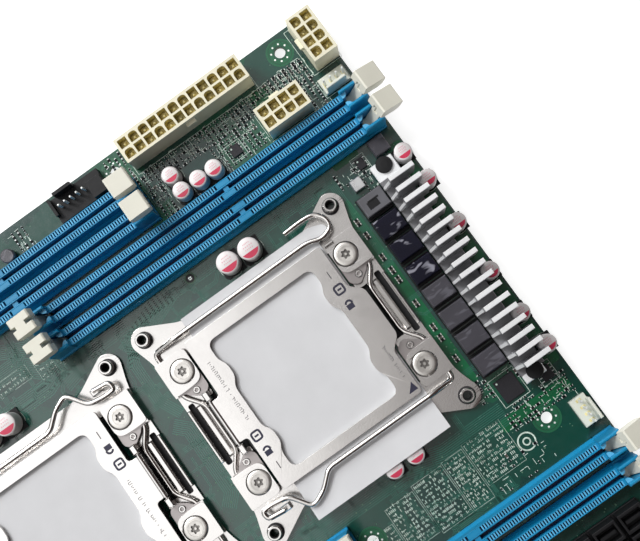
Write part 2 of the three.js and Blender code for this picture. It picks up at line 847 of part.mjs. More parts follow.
// A row of five bare pins with a tall tab behind it and a low square block beside it.
function signalHeader() {
  const pitch = 2.54;
  const base = block(-8.4, 12.4, -5.2, 4.4, GAP, 3.2);
  const tab = block(-4.8, 2.6, 3.4, 4.6, 3, 8.6);
  const sideBlock = block(6.6, 12.4, -5.2, 1.2, 3, 6.5);
  const endWall = block(-8.4, -7.3, -2.4, 4.4, 3, 5.6);
  const pins = [-2, -1, 0, 1, 2].map((i) =>
    block(i * pitch - 0.32, i * pitch + 0.32, -0.32, 0.32, 2, 8),
  );
  return join(base, tab, sideBlock, endWall, ...pins);
}

add("signal_header", signalHeader(), COLORS.blackPlastic(), 21.2, 146, TOP);

// Six upright drive ports in two rows on one base.
function drivePorts() {
  const solids = [block(-15, 15, -8, 8, GAP, 2.2)];
  const tools = [];
  for (let i = 0; i < 3; i++) {
    for (const row of [-1, 1]) {
      const x = (i - 1) * 10;
      const y = row * 4.1;
      solids.push(block(x - 4.4, x + 4.4, y - 3.6, y + 3.6, 2, 9));
      tools.push(block(x - 3.5, x + 3.5, y - 2.4, y + 2.4, 4, 10));
    }
  }
  const tongues = [-1, 0, 1].flatMap((i) =>
    [-1, 1].map((row) =>
      block(i * 10 - 3, i * 10 + 3, row * 4.1 - 0.6, row * 4.1 + 0.6, 3.5, 8),
    ),
  );
  return join(cut(join(...solids), ...tools), ...tongues);
}

add("drive_ports", drivePorts(), COLORS.blackPlastic(), 103.4, -57, TOP);

export default group;
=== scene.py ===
"""The mainboard's looks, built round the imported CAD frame. Lengths are in millimetres
until a mesh is made, and the axes are the frame's: +X along the memory slots, +Y to the
edge with the main power socket, +Z up."""

import math
import random

import bmesh
import bpy
from mathutils import Matrix, Vector
from mathutils.geometry import tessellate_polygon


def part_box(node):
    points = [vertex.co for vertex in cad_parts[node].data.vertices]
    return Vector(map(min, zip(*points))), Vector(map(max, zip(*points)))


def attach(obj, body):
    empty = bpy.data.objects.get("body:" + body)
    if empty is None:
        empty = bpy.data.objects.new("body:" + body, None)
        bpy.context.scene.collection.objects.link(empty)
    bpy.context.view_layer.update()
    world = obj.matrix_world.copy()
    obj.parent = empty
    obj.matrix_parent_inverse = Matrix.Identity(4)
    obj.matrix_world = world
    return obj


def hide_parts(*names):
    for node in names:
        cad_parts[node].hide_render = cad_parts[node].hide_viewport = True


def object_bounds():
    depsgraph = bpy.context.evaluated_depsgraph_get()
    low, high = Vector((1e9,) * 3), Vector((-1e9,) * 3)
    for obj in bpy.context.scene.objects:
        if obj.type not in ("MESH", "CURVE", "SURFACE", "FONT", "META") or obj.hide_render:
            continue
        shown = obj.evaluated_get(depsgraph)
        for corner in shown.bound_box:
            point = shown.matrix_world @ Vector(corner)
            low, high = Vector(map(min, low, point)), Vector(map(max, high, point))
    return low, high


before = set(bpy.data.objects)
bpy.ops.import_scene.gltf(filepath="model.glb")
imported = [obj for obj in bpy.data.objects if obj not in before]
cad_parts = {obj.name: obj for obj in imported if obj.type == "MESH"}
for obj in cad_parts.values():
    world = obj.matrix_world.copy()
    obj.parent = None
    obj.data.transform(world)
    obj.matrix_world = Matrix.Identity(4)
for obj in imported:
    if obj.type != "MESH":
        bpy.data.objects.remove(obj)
cad_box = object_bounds()
MM = 0.001
random.seed(7)


def box_mm(node):
    low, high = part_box(node)
    return [v / MM for v in low], [v / MM for v in high]


def centre(node):
    low, high = box_mm(node)
    return [(a + b) / 2 for a, b in zip(low, high)]


BOARD_LOW, BOARD_HIGH = box_mm("board")
TOP = BOARD_HIGH[2]
ROOT = "mainboard"


# ------------------------------------------------------------------ outlines


def rectangle(x0, y0, x1, y1):
    return [(x0, y0), (x1, y0), (x1, y1), (x0, y1)]


def arc(cx, cy, radius, start, end, steps):
    points = []
    for i in range(steps + 1):
        a = math.radians(start + (end - start) * i / steps)
        points.append((cx + radius * math.cos(a), cy + radius * math.sin(a)))
    return points


def circle(cx, cy, radius, steps=32):
    return arc(cx, cy, radius, 0, 360 - 360 / steps, steps - 1)


def mirrored(points, sx, sy):
    """Carries a corner's outline to another corner, and keeps it counter-clockwise."""
    out = [(sx * p[0], sy * p[1], *p[2:]) for p in points]
    return out if sx * sy > 0 else out[::-1]


def fourfold(quadrant):
    upper = quadrant + mirrored(quadrant, -1, 1)
    return upper + mirrored(upper, 1, -1)


def eased(back, here, on, wanted, share, steps):
    """A rounded corner's points; it takes up at most a share of each run beside it."""
    back, on = back - here, on - here
    reach = min(wanted, back.length * share, on.length * share)
    a, b = here + back.normalized() * reach, here + on.normalized() * reach
    times = [k / steps for k in range(steps + 1)]
    return [a * (1 - t) ** 2 + here * 2 * t * (1 - t) + b * t**2 for t in times]


def filleted(corners, radius, steps=5):
    """Rounds each corner of an outline; a corner may carry its own radius third."""
    points = []
    for i, corner in enumerate(corners):
        back, on = corners[i - 1], corners[(i + 1) % len(corners)]
        wanted = corner[2] if len(corner) > 2 else radius
        three = [Vector(p[:2]) for p in (back, corner, on)]
        points += [tuple(p) for p in eased(*three, wanted, 0.48, steps)]
    return points


# ------------------------------------------------------------------ mesh building


def on_board(x, y, turn=0.0):
    """The frame of a part that stands on the board's upper face."""
    return Matrix.Translation((x, y, TOP)) @ Matrix.Rotation(turn, 4, "Z")


def linked(name, data):
    obj = bpy.data.objects.new(name, data)
    bpy.context.scene.collection.objects.link(obj)
    return obj


class Build:
    """Collects closed shapes, in millimetres, and makes one mesh object of them."""

    def __init__(self, matrix=None):
        self.points, self.faces, self.slots = [], [], []
        self.matrix = matrix or Matrix()

    def place(self, x=0.0, y=0.0, turn=0.0):
        self.matrix = on_board(x, y, turn)
        return self

    def add(self, points, faces, slots):
        base = len(self.points)
        self.points += [self.matrix @ Vector(p) for p in points]
        self.faces += [[base + i for i in f] for f in faces]
        self.slots += slots

    def stack(self, rings, slot=0, top=None, loop=False):
        """Skins a row of rings with as many points each, capped at both ends or closed into
        a loop. A list of slots has one for each band; top is the upper cap's."""
        count = len(rings[0])
        bands = slot if isinstance(slot, list) else [slot] * (len(rings) - 1 + loop)
        faces, slots = [], []
        for j, band in enumerate(bands):
            low, high = j * count, (j + 1) % len(rings) * count
            for k in range(count):
                n = (k + 1) % count
                faces.append((low + k, low + n, high + n, high + k))
                slots.append(band)
        if not loop:
            last = (len(rings) - 1) * count
            faces += [range(count)[::-1], range(last, last + count)]
            slots += [bands[0], bands[-1] if top is None else top]
        self.add([p for ring in rings for p in ring], faces, slots)

    def box(self, x0, x1, y0, y1, z0, z1, slot=0, inset=0.0):
        """A box, with its upper face drawn in by inset to catch the light. The two bounds of
        a side come in either order."""
        (x0, x1), (y0, y1) = sorted((x0, x1)), sorted((y0, y1))
        levels = [(0, z0), (0, z1 - inset)] + ([(inset, z1)] if inset else [])
        rims = [(rectangle(x0 + i, y0 + i, x1 - i, y1 - i), z) for i, z in levels]
        self.stack([[(*p, z) for p in rim] for rim, z in rims], slot)

    def lathe(self, profile, sides, x=0.0, y=0.0, slot=0, loop=False):
        """Turns (radius, z) points about an upright axis: a solid, or a hollow loop."""
        rings = [[(*p, z) for p in circle(x, y, radius, sides)] for radius, z in profile]
        self.stack(rings, slot, loop=loop)

    def prism(self, outline, z0, z1, slot=0, top=None):
        self.stack([[(x, y, z) for x, y in outline] for z in (z0, z1)], slot, top)

    def along_x(self, profile, x0, x1, slot=0):
        """A closed (y, z) profile, counter-clockwise seen from +X, carried along X."""
        self.stack([[(x, y, z) for y, z in profile] for x in (x0, x1)], slot)

    def along_y(self, profile, y0, y1, slot=0):
        """A closed (x, z) profile, clockwise seen from -Y, carried along Y."""
        self.stack([[(x, y, z) for x, z in profile] for y in (y0, y1)], slot)

    def line(self, points, width, slot=0, thick=0.02):
        """A printed or etched line as one thin ribbon, mitred at its bends."""
        rings = []
        for i, point in enumerate(points):
            way = Vector(points[min(len(points) - 1, i + 1)]) - Vector(points[max(0, i - 1)])
            side = Vector((-way.y, way.x)).normalized() * width / 2
            a, b = Vector(point) + side, Vector(point) - side
            rings.append([(*a, 0.0), (*a, thick), (*b, thick), (*b, 0.0)])
        self.stack(rings, slot)

    def outline(self, ring, width, slot=0, thick=0.02):
        self.line(ring + ring[:1], width, slot, thick)

    def object(self, name, finishes, smooth=None):
        """The mesh object; finishes names its material slots in order."""
        mesh = bpy.data.meshes.new(name)
        mesh.from_pydata([p * MM for p in self.points], [], self.faces)
        for key in finishes.split():
            mesh.materials.append(MATERIALS[key])
        mesh.polygons.foreach_set("material_index", self.slots)
        mesh.validate()
        obj = linked(name, mesh)
        if smooth:
            shade(obj, smooth)
        return obj


def shade(obj, angle):
    """Smooth shading with edges sharper than the angle kept crisp."""
    mesh = obj.data
    mesh.polygons.foreach_set("use_smooth", [True] * len(mesh.polygons))
    mesh.set_sharp_from_angle(angle=math.radians(angle))


CRISP = 40  # degrees between faces from which an edge counts as an edge


def bevel(obj, width):
    modifier = obj.modifiers.new("edge", "BEVEL")
    modifier.width = width * MM
    modifier.segments = 2
    modifier.limit_method = "ANGLE"
    modifier.angle_limit = math.radians(CRISP)
    modifier.use_clamp_overlap = True
    return obj


def even_normals(obj):
    """Keeps broad faces flat in the shading and lets the rounded rims roll."""
    shade(obj, CRISP)
    obj.modifiers.new("normals", "WEIGHTED_NORMAL").keep_sharp = True
    return obj


def keep(obj, body=ROOT, replaces=()):
    """Hangs a finished piece on its body's empty, and hides the CAD parts that it replaces."""
    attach(obj, body)
    if replaces:
        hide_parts(*replaces)


def plate(name, outline, z0, z1, holes=(), edge=0.0, matrix=None, finish="nickel"):
    """A stamped plate with holes, its rims rounded by edge."""
    rings = [[Vector((x, y, 0)) for x, y in ring] for ring in (outline, *holes)]
    grid = bmesh.new()
    flat = [p for ring in rings for p in ring]
    low, high = ([grid.verts.new((p.x, p.y, z)) for p in flat] for z in (z0, z1))
    for a, b, c in tessellate_polygon(rings):
        grid.faces.new((high[a], high[b], high[c]))
        grid.faces.new((low[c], low[b], low[a]))
    start = 0
    for ring in rings:
        for i in range(len(ring)):
            a, b = start + i, start + (i + 1) % len(ring)
            grid.faces.new((low[a], low[b], high[b], high[a]))
        start += len(ring)
    bmesh.ops.remove_doubles(grid, verts=grid.verts, dist=0.004)
    bmesh.ops.recalc_face_normals(grid, faces=grid.faces)
    if edge:
        steep = math.radians(50)
        rims = [e for e in grid.edges if len(e.link_faces) == 2 and e.calc_face_angle() > steep]
        rims = [e for e in rims if abs(e.verts[0].co.z - e.verts[1].co.z) < 0.01]
        cut = {"offset": edge, "segments": 3, "profile": 0.5}
        bmesh.ops.bevel(grid, geom=rims, affect="EDGES", clamp_overlap=True, **cut)
    grid.transform(Matrix.Scale(MM, 4) @ (matrix or Matrix()))
    mesh = bpy.data.meshes.new(name)
    grid.to_mesh(mesh)
    grid.free()
    mesh.materials.append(MATERIALS[finish])
    return linked(name, mesh)


def merge(name, objects):
    """Joins objects into the first one, keeping each one's materials."""
    bpy.ops.object.select_all(action="DESELECT")
    for obj in objects:
        obj.select_set(True)
    bpy.context.view_layer.objects.active = objects[0]
    bpy.ops.object.join()
    objects[0].name = name
    return objects[0]


# ------------------------------------------------------------------ materials


def feed(tree, node, inputs):
    """Sets inputs, by name or number, to a value, or links them to an output."""
    for key, value in inputs.items():
        if isinstance(value, bpy.types.NodeSocket):
            tree.links.new(value, node.inputs[key])
        else:
            node.inputs[key].default_value = value


def add_node(tree, kind, inputs=None, **settings):
    node = tree.nodes.new("ShaderNode" + kind)
    for key, value in settings.items():
        setattr(node, key, value)
    feed(tree, node, inputs or {})
    return node


def add_ramp(tree, factor, *stops, interpolation="LINEAR"):
    """A colour ramp over rising (position, colour) stops; gives its output."""
    node = add_node(tree, "ValToRGB", {"Fac": factor})
    node.color_ramp.interpolation = interpolation
    elements = node.color_ramp.elements
    for i, (position, color) in enumerate(stops):
        stop = elements[i] if i < len(elements) else elements.new(position)
        stop.position = position
        stop.color = (*color, 1)
    return node.outputs["Color"]


def mix_base(tree, factor, a=None, b=None):
    """Mixes a colour with the base colour there was, which stands in for the missing one."""
    base = tree.nodes["Principled BSDF"].inputs["Base Color"]
    old = base.links[0].from_socket
    a, b = (old if side is None else side for side in (a, b))
    mix = add_node(tree, "Mix", {0: factor, 6: a, 7: b}, data_type="RGBA")
    tree.links.new(mix.outputs[2], base)


def find_node(tree, kind):
    return next(n for n in tree.nodes if n.bl_idname == "ShaderNode" + kind)


ROUGH_SCALE, BUMP_SCALE, BUMP_HEIGHT = 400.0, 1800.0, 0.0002


def surface(
    name,
    color,
    rough=0.5,
    metal=0.0,
    vary=0.12,
    vary_scale=90.0,
    rough_vary=0.1,
    bump=0.05,
    coat=0.0,
    specular=0.5,
    stretch=(1, 1, 1),
):
    """A base material: mottled colour, uneven roughness and a fine bump, from noise."""
    material = bpy.data.materials.new(name)
    material.use_nodes = True
    tree = material.node_tree
    place = add_node(tree, "TexCoord").outputs["Object"]
    spot = add_node(tree, "Mapping", {"Vector": place, "Scale": stretch}).outputs["Vector"]

    def noise(scale, detail=4.0):
        inputs = {"Vector": spot, "Scale": scale, "Detail": detail}
        return add_node(tree, "TexNoise", inputs).outputs["Fac"]

    low = [c * (1 - vary) for c in color]
    high = [min(1, c * (1 + vary)) for c in color]
    spread = {"To Min": max(0.02, rough - rough_vary), "To Max": min(1, rough + rough_vary)}
    relief = {"Strength": bump, "Distance": BUMP_HEIGHT, "Height": noise(BUMP_SCALE, 2.0)}
    uneven = add_node(tree, "MapRange", {"Value": noise(ROUGH_SCALE), **spread})
    inputs = {
        "Base Color": add_ramp(tree, noise(vary_scale), (0.3, low), (0.7, high)),
        "Metallic": metal,
        "Roughness": uneven.outputs["Result"],
        "Normal": add_node(tree, "Bump", relief).outputs["Normal"],
        "Specular IOR Level": specular,
        "Coat Weight": coat,
        "Coat Roughness": 0.15,
    }
    feed(tree, tree.nodes["Principled BSDF"], inputs)
    return material


def painted_reflection_streaks(material, color, threshold):
    """Paints a few pale streaks into the base colour: painted reflections of a room, the long ones
    a glossy block catches.
    """
    tree = material.node_tree
    spot = find_node(tree, "Mapping").outputs["Vector"]
    inputs = {"Vector": spot, "Scale": 170.0, "Detail": 1.5, "Distortion": 0.6}
    noise = add_node(tree, "TexNoise", inputs).outputs["Fac"]
    stops = (threshold, (0, 0, 0)), (threshold + 0.07, (1, 1, 1))
    mix_base(tree, add_ramp(tree, noise, *stops), b=(*color, 1))
    return material


def solder_mask():
    """Green lacquer: brighter over copper areas, dark teal where there is bare laminate."""
    color = (0.002, 0.048, 0.034)
    material = surface("solder_mask", color, 0.16, vary=0.3, specular=0.85, coat=0.1)
    tree = material.node_tree
    place = find_node(tree, "TexCoord").outputs["Object"]
    inputs = {"Vector": place, "Scale": 52.0, "Randomness": 0.9}
    cells = add_node(tree, "TexVoronoi", inputs, distance="CHEBYCHEV").outputs["Color"]
    stops = (0, (0.001, 0.026, 0.024)), (0.34, (0.001, 0.046, 0.032)), (0.82, (0.001, 0.09, 0.038))
    mix_base(tree, 0.4, a=add_ramp(tree, cells, *stops, interpolation="CONSTANT"))
    return material


MATERIALS = {
    "mask": solder_mask(),
    "trace": surface("trace_green", (0.012, 0.115, 0.08), 0.25, specular=0.9),
    "silk": surface("white_print", (0.52, 0.62, 0.55), 0.6, vary=0.25, vary_scale=900),
    "pour": surface("copper_pour_green", (0.001, 0.09, 0.032), 0.25, vary=0.3),
    "bore": surface("bore_shadow", (0.012, 0.01, 0.012), 0.5),
    "pale": surface("bare_pad_green", (0.07, 0.16, 0.1), 0.5),
    "ring": surface("ring_green", (0.008, 0.1, 0.045), 0.3),
    "rim": surface("ring_edge_green", (0.005, 0.045, 0.025), 0.4),
    "tin": surface("bright_tin", (0.8, 0.82, 0.8), 0.38, 0.3, vary_scale=900, bump=0.1),
    "edge": surface("laminate_edge", (0.1, 0.13, 0.07), 0.7),
    "black": surface("black_plastic", (0.006, 0.006, 0.007), 0.5, bump=0.12, specular=0.25),
    "epoxy": surface("chip_epoxy", (0.012, 0.011, 0.015), 0.5, bump=0.15, specular=0.35),
    "ceramic": surface("capacitor_ceramic", (0.07, 0.06, 0.05), 0.5, specular=0.3),
    "resist": surface("resistor_glaze", (0.002, 0.004, 0.005), 0.45, specular=0.12),
    "blue": surface("blue_nylon", (0.003, 0.22, 0.43), 0.36, vary=0.12, vary_scale=60),
    # a lighter copy of the blue nylon for rib and arm tops: painted light
    "blue_rib": surface("blue_nylon_painted_light", (0.09, 0.4, 0.66), 0.32, vary=0.15, vary_scale=200),
    "navy": surface("blue_shadow", (0.001, 0.012, 0.07), 0.5, vary=0.3),
    "ivory": surface("ivory_nylon", (0.68, 0.67, 0.58), 0.42, vary=0.04, bump=0.06),
    "cream": surface("cream_nylon", (0.74, 0.71, 0.55), 0.45, vary=0.06, bump=0.08),
    # olive: painted shade inside the power sockets' wells; also the fan headers' pin bases
    "olive": surface("olive_nylon_and_well_shade", (0.66, 0.58, 0.28), 0.4, vary=0.3, vary_scale=260),
    "white": surface("white_nylon", (0.66, 0.68, 0.6), 0.45, vary=0.05),
    "nickel": surface(
        "nickel_plate", (0.69, 0.675, 0.66), 0.2, 1.0, vary=0.09, vary_scale=26, rough_vary=0.05
    ),
    # a darker copy of the nickel for the frame's lower layers: painted shade
    "nickel_shade": surface("nickel_plate_shade", (0.36, 0.335, 0.33), 0.36, 1.0, vary_scale=30),
    "screw": surface("screw_steel", (0.62, 0.6, 0.57), 0.33, 1.0, vary=0.15, vary_scale=200),
    # the screws' recess walls and floor, darker than the screw steel: painted shade
    "recess": surface("recess_metal_shade", (0.2, 0.19, 0.18), 0.35, 0.9),
    "wire": surface("lever_wire", (0.78, 0.755, 0.73), 0.14, 1.0, vary=0.06),
    "dark_steel": surface("dark_steel", (0.1, 0.1, 0.11), 0.4, 0.9),
    "card": surface("cover_card", (0.6, 0.605, 0.62), 0.6, vary=0.03, bump=0.06, specular=0.2),
    "fin": surface("fin_aluminium", (0.85, 0.86, 0.87), 0.35, 0.3, vary=0.05),
    # darker copies of the fin aluminium for fin sides and the base between fins: painted shade
    "fin_side": surface("fin_side", (0.5, 0.5, 0.52), 0.35, 0.8, vary=0.25, stretch=(1, 1, 9)),
    "fin_base": surface("fin_base", (0.2, 0.2, 0.21), 0.45, 0.5, vary=0.35),
    # the chokes' pale streaks are painted reflections
    "choke": painted_reflection_streaks(
        surface("choke_ferrite", (0.042, 0.04, 0.05), 0.35, 0.1, bump=0.2, stretch=(1, 3, 1)),
        (0.085, 0.083, 0.1),
        0.56,
    ),
    "choke_pale": surface("choke_ferrite_pale", (0.1, 0.1, 0.112), 0.4, 0.2, vary=0.2),
    "choke_gloss": painted_reflection_streaks(
        surface("choke_gloss", (0.004, 0.004, 0.012), 0.2, specular=0.25, stretch=(1, 2.4, 1)),
        (0.22, 0.22, 0.26),
        0.58,
    ),
    "can": surface("can_aluminium", (0.66, 0.63, 0.63), 0.45, 0.2, vary=0.05),
    "can_ink": surface("can_print", (0.62, 0.28, 0.34), 0.5),
    "red": surface("can_wedge", (0.52, 0.02, 0.07), 0.4, vary=0.2),
    "ink": surface("stamped_ink", (0.012, 0.012, 0.035), 0.5, vary=0.3),
    "ink_pale": surface("stamped_grey", (0.08, 0.075, 0.08), 0.5, vary=0.3),
    "shell": surface("port_shell", (0.68, 0.69, 0.7), 0.28, 1.0, vary=0.08),
    "cell": surface("cell_steel", (0.72, 0.72, 0.7), 0.22, 1.0, vary=0.08),
    "floor": surface("floor_white", (0.5, 0.5, 0.5), 0.9, vary=0.01, bump=0.01),
    "flag": surface("flag_cloth", (0.035, 0.03, 0.036), 0.9),
}


def dress(node, finish, edge):
    """Gives a CAD node its finish, and softened edges."""
    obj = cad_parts[node]
    for slot in obj.material_slots:
        slot.material = MATERIALS[finish]
    obj.modifiers.new("weld", "WELD").merge_threshold = 0.002 * MM
    bevel(obj, edge)


# ------------------------------------------------------------------ board

FIXING_COLUMNS = (-116.84, 38.1, 110.49)
FIXING_ROWS = (146.05, -11.43, -135.89)
REAR_TOP_HOLE_Y = 123.19
TOOL_HOLE = (38.3, 99.0)
SOCKETS = [("1", 0.0), ("2", math.pi)]


def fixing_holes():
    for x in FIXING_COLUMNS:
        for y in FIXING_ROWS:
            rear_top = (x, y) == (FIXING_COLUMNS[0], FIXING_ROWS[0])
            yield x, REAR_TOP_HOLE_Y if rear_top else y


def make_board():
    x, y = BOARD_HIGH[0], BOARD_HIGH[1]
    holes = [circle(cx, cy, 1.98) for cx, cy in fixing_holes()]
    holes.append(circle(*TOOL_HOLE, 1.1, 16))
    edge = filleted(rectangle(-x, -y, x, y), 1.2, 4)
    obj = plate("board_laminate", edge, BOARD_LOW[2], TOP, holes, finish="mask")
    obj.data.materials.append(MATERIALS["edge"])
    for polygon in obj.data.polygons:
        polygon.material_index = 0 if abs(polygon.normal.z) > 0.5 else 1
    keep(obj, replaces=["board"])


def annulus(build, near, far, sides, slot, thick):
    step = 360 / sides
    for k in range(sides):
        inner = arc(0, 0, near, step * k, step * (k + 1), 1)
        outer = arc(0, 0, far, step * (k + 1), step * k, 1)
        build.prism((inner + outer)[::-1], 0, thick, slot)


def make_fixing_rings():
    """The bare green rings with plated vias round each fixing hole."""
    rings = Build()
    for cx, cy in fixing_holes():
        rings.place(cx, cy)
        annulus(rings, 2.2, 5.1, 40, 0, 0.05)
        for k in range(8):
            via = arc(0, 0, 3.15, 22 + 45 * k, 22 + 45 * k, 1)[0]
            rings.prism(circle(*via, 0.36, 10), 0, 0.1, 1)
        for radius in (2.5, 4.2):
            rings.outline(circle(0, 0, radius, 40), 0.2, 3, 0.08)
    # round the tool hole, a black ring painted as the shadow of the hole's wall, then a pale ring
    rings.place(*TOOL_HOLE)
    annulus(rings, 0.7, 1.6, 20, 4, 0.06)
    annulus(rings, 1.6, 2.1, 20, 2, 0.06)
    keep(rings.object("fixing_rings", "ring tin pale rim bore"))


# ------------------------------------------------------------------ processor sockets

FRAME_X, FRAME_Y = 41.9, 37.4
STUD = 40.0  # the cooler studs stand on a square of twice this
SCREW = (34.6, 23.0)
AXLE = (39.6, 3.05)  # x and z of both levers' axles
CRANK_X = 34.8
PLATE_TOP = 7.0
CORNERS = [(sx, sy) for sx in (-1, 1) for sy in (-1, 1)]

STUD_WALL = [(1.7, 0.3), (2.5, 0.3), (2.5, 5.6), (2.25, 6.0), (1.75, 6.0), (1.65, 5.8), (1.65, 0.4)]
STUD_COLLAR = [(2.45, 1.75), (3.1, 1.75), (3.1, 1.9), (2.45, 1.9)]
STUD_BORE = [(1.45, 0.3), (1.66, 0.3), (1.66, 5.4), (1.45, 5.4)]
RIVET = [(0.55, 4.1), (1.35, 4.1), (1.35, 4.5), (1.1, 4.75), (0.75, 4.75), (0.55, 4.5)]


def make_socket_frame(number, matrix):
    """The stamped ring with its studs, and by each screw a raised cover over a lower wing."""
    quadrant = [(FRAME_X, 4, 0), (FRAME_X, 30, 3), *arc(STUD, STUD, 4.8, -14, 104, 12)]
    quadrant += [(25, FRAME_Y, 3), (6, FRAME_Y, 0)]
    opening = [(35.9, 4), (35.9, 10.8), (30.6, 10.8), (30.6, 27.2), (6, 27.2)]
    holes = [filleted(fourfold(opening), 1.2, 4)]
    gap = rectangle(38.4, -12.4, 40.7, 12.4)
    holes += [filleted(mirrored(gap, side, 1), 0.8, 3) for side in (-1, 1)]
    holes += [circle(sx * STUD, sy * STUD, 1.75, 20) for sx, sy in CORNERS]
    ring = filleted(fourfold(quadrant), 0.4, 2)
    # a black sheet under the ring, seen through its openings: painted shade
    sheet = fourfold([(40.9, 6), (40.9, 36.6), (6, 36.6)])
    well = [fourfold([(30.4, 6), (30.4, 26.9), (6, 26.9)])]
    parts = [
        plate("ring", ring, 0.3, 1.8, holes, 0.4, matrix),
        plate("painted_shade_sheet", sheet, 0.05, 0.28, well, 0, matrix, "black"),
    ]
    wing = [(29.9, 29.8), (41.9, 29.8), (41.9, 16.4), (38.2, 16), (37.6, 14.9), (32.9, 11.6)]
    wing = filleted([*wing, (29.9, 13.8)], 1.3, 4)
    core = [(30.5, 29.2), (38.2, 29.2), (38.2, 16.2), (37.2, 15.0), (32.9, 12.2), (30.5, 14.0)]
    core = filleted(core, 0.8, 3)
    cover = [(29.9, 29.8, 2.0), (41.9, 29.8, 0.8), (41.9, 16.8, 1.4), (37, 16.6, 2)]
    cover = filleted([*cover, (29.9, 17.2, 6.5)], 1, 8)
    # under each cover, the core and wing take a darker copy of the nickel: painted shade
    for sx, sy in CORNERS:
        x, y = sx * SCREW[0], sy * SCREW[1]
        for name, shape, z0, z1, bore, edge, finish in (
            ("core", core, 1.7, 3.5, circle(x, y, 3.95, 36), 0, "nickel_shade"),
            ("wing", wing, 3.4, 4.2, circle(x, y, 4.5, 40), 0.2, "nickel_shade"),
            ("cover", cover, 3.9, 5.35, circle(x, y, 4.5, 40), 0.45, "nickel"),
        ):
            shape = mirrored(shape, sx, sy)
            parts.append(plate(name, shape, z0, z1, [bore], edge, matrix, finish))
    extras = Build(matrix)
    # the stud collars and bore walls take the dark bore finish: painted shadow
    for sx, sy in CORNERS:
        x, y = sx * STUD, sy * STUD
        extras.lathe(STUD_WALL, 28, x, y, 0, loop=True)
        extras.lathe(STUD_COLLAR, 28, x, y, 1, loop=True)
        extras.lathe(STUD_BORE, 24, x, y, 1, loop=True)
        extras.lathe(RIVET, 18, sx * 34.3, sy * 15.0, 0, loop=True)
        extras.box(sx * 40.9, sx * 41.9, sy * 16.4, sy * 29.8, 1.7, 4.7)
    for side in (-1, 1):
        extras.box(side * 40.8, side * 41.9, -10.6, 10.6, 1.6, 3.4, inset=0.3)
        extras.box(side * 36.1, side * 38.5, -10.4, 10.4, 1.6, 3.1, inset=0.6)
        extras.box(-33.6, -31.4, side * 9.1, side * 12.6, 2.6, 7.3, inset=0.4)
    extras.box(30, 33.6, 28.6, 29.7, 5.2, 7.6, inset=0.25)
    extras.box(-34, -30.4, -36.6, -34.2, 1.6, 4.4, inset=0.3)
    parts.append(extras.object("extras", "nickel bore"))
    obj = even_normals(merge(f"loading_frame_{number}", parts))
    keep(obj, replaces=[f"socket_frame_{number}"])


def make_load_plate(number, matrix):
    free = [(28.7, 13.6), (30.4, 11.9), (33, 9.6), (33, -9.6), (30.4, -11.9), (28.7, -13.6)]
    hinge = [(-28.7, -8.4), (-32.6, -8.4), (-32.6, 8.4), (-28.7, 8.4)]
    outline = free + [(28.7, -30), (-28.7, -30)] + hinge + [(-28.7, 30.4), (28.7, 30.4)]
    outline = filleted(outline[::-1], 1.6, 5)
    half = [(22.4, 2), (22.4, 8.0, 2.6), (20.2, 11.2, 2.2), (20.2, 16.0, 2.2), (21.9, 19.0, 2.0)]
    half += [(21.9, 25.8, 4.6), (4, 25.8)]
    window = filleted(fourfold(half), 1.6, 8)
    rolls = Build(matrix)
    for length, radius in ((8.4, 1.0), (10.4, 0.55)):
        rolls.along_y(circle(-32.6, 6.3, radius, 20)[::-1], -length, length)
    parts = [plate("load_plate", outline, 5.6, PLATE_TOP, [window], 0.6, matrix)]
    parts.append(rolls.object("roll", "nickel"))
    obj = even_normals(merge(f"load_plate_skin_{number}", parts))
    keep(obj, f"load_plate_{number}", [f"load_plate_{number}"])
    make_stamped_marks(number, matrix)


def make_stamped_marks(number, matrix):
    """Plain stamped marks: rows of bars, ringed bars, a lock sign, a lever sign, a corner."""
    marks = Build(matrix @ Matrix.Translation((0, 0, PLATE_TOP)))
    thick = 0.04
    for x, y, end in ((-25.2, -3.5, 20.5), (26.4, -22.3, -10.0)):
        while y < end:
            half = random.choice([0.5, 0.9, 1.3]) / 2
            marks.line([(x - half, y), (x + half, y)], 0.2, 1, thick)
            if random.random() < 0.5:
                marks.line([(x + half, y), (x + half, y + 0.55)], 0.2, 1, thick)
            y += random.choice([0.75, 0.75, 1.7])
    for x, y in ((25.8, 14.2), (-25.9, -9.8)):
        ring = filleted(rectangle(x - 1.6, y - 1.6, x + 1.6, y + 1.6), 0.9, 4)
        marks.outline(ring, 0.75, 0, thick)
        marks.line([(x - 0.8, y), (x + 0.8, y)], 0.7, 0, thick)
    for x, y in ((25.6, 8.2), (-25.7, -15.8)):
        marks.prism(rectangle(x - 1.3, y - 1.9, x + 1.3, y), 0, thick)
        marks.line(arc(x, y, 1.2, -10, 160, 8), 0.75, 0, thick)
    for x, y in ((25.7, 20.2), (-25.4, -22.0)):
        marks.line([(x, y - 1.4), (x, y + 1.4)], 0.35, 1, thick)
    marks.prism([(24.4, -28.4), (28.0, -28.4), (27.2, -25.2)], 0, thick)
    keep(marks.object(f"stamped_marks_{number}", "ink ink_pale"), f"load_plate_{number}")


WIRE_RADIUS, WIRE_BEND = 0.92, 2.1


def lever_wire(name, corners, matrix):
    """A bent wire with softly rounded corners and closed ends."""
    curve = bpy.data.curves.new(name, "CURVE")
    curve.dimensions = "3D"
    curve.bevel_depth = WIRE_RADIUS * MM
    curve.bevel_resolution = 5
    curve.use_fill_caps = True
    points = [matrix @ Vector(c) for c in corners]
    route = [points[0]]
    for three in zip(points, points[1:], points[2:]):
        route += eased(*three, WIRE_BEND, 0.46, 8)
    route.append(points[-1])
    spline = curve.splines.new("POLY")
    spline.points.add(len(route) - 1)
    for point, co in zip(spline.points, route):
        point.co = (*(co * MM), 1)
    curve.materials.append(MATERIALS["wire"])
    return linked(name, curve)


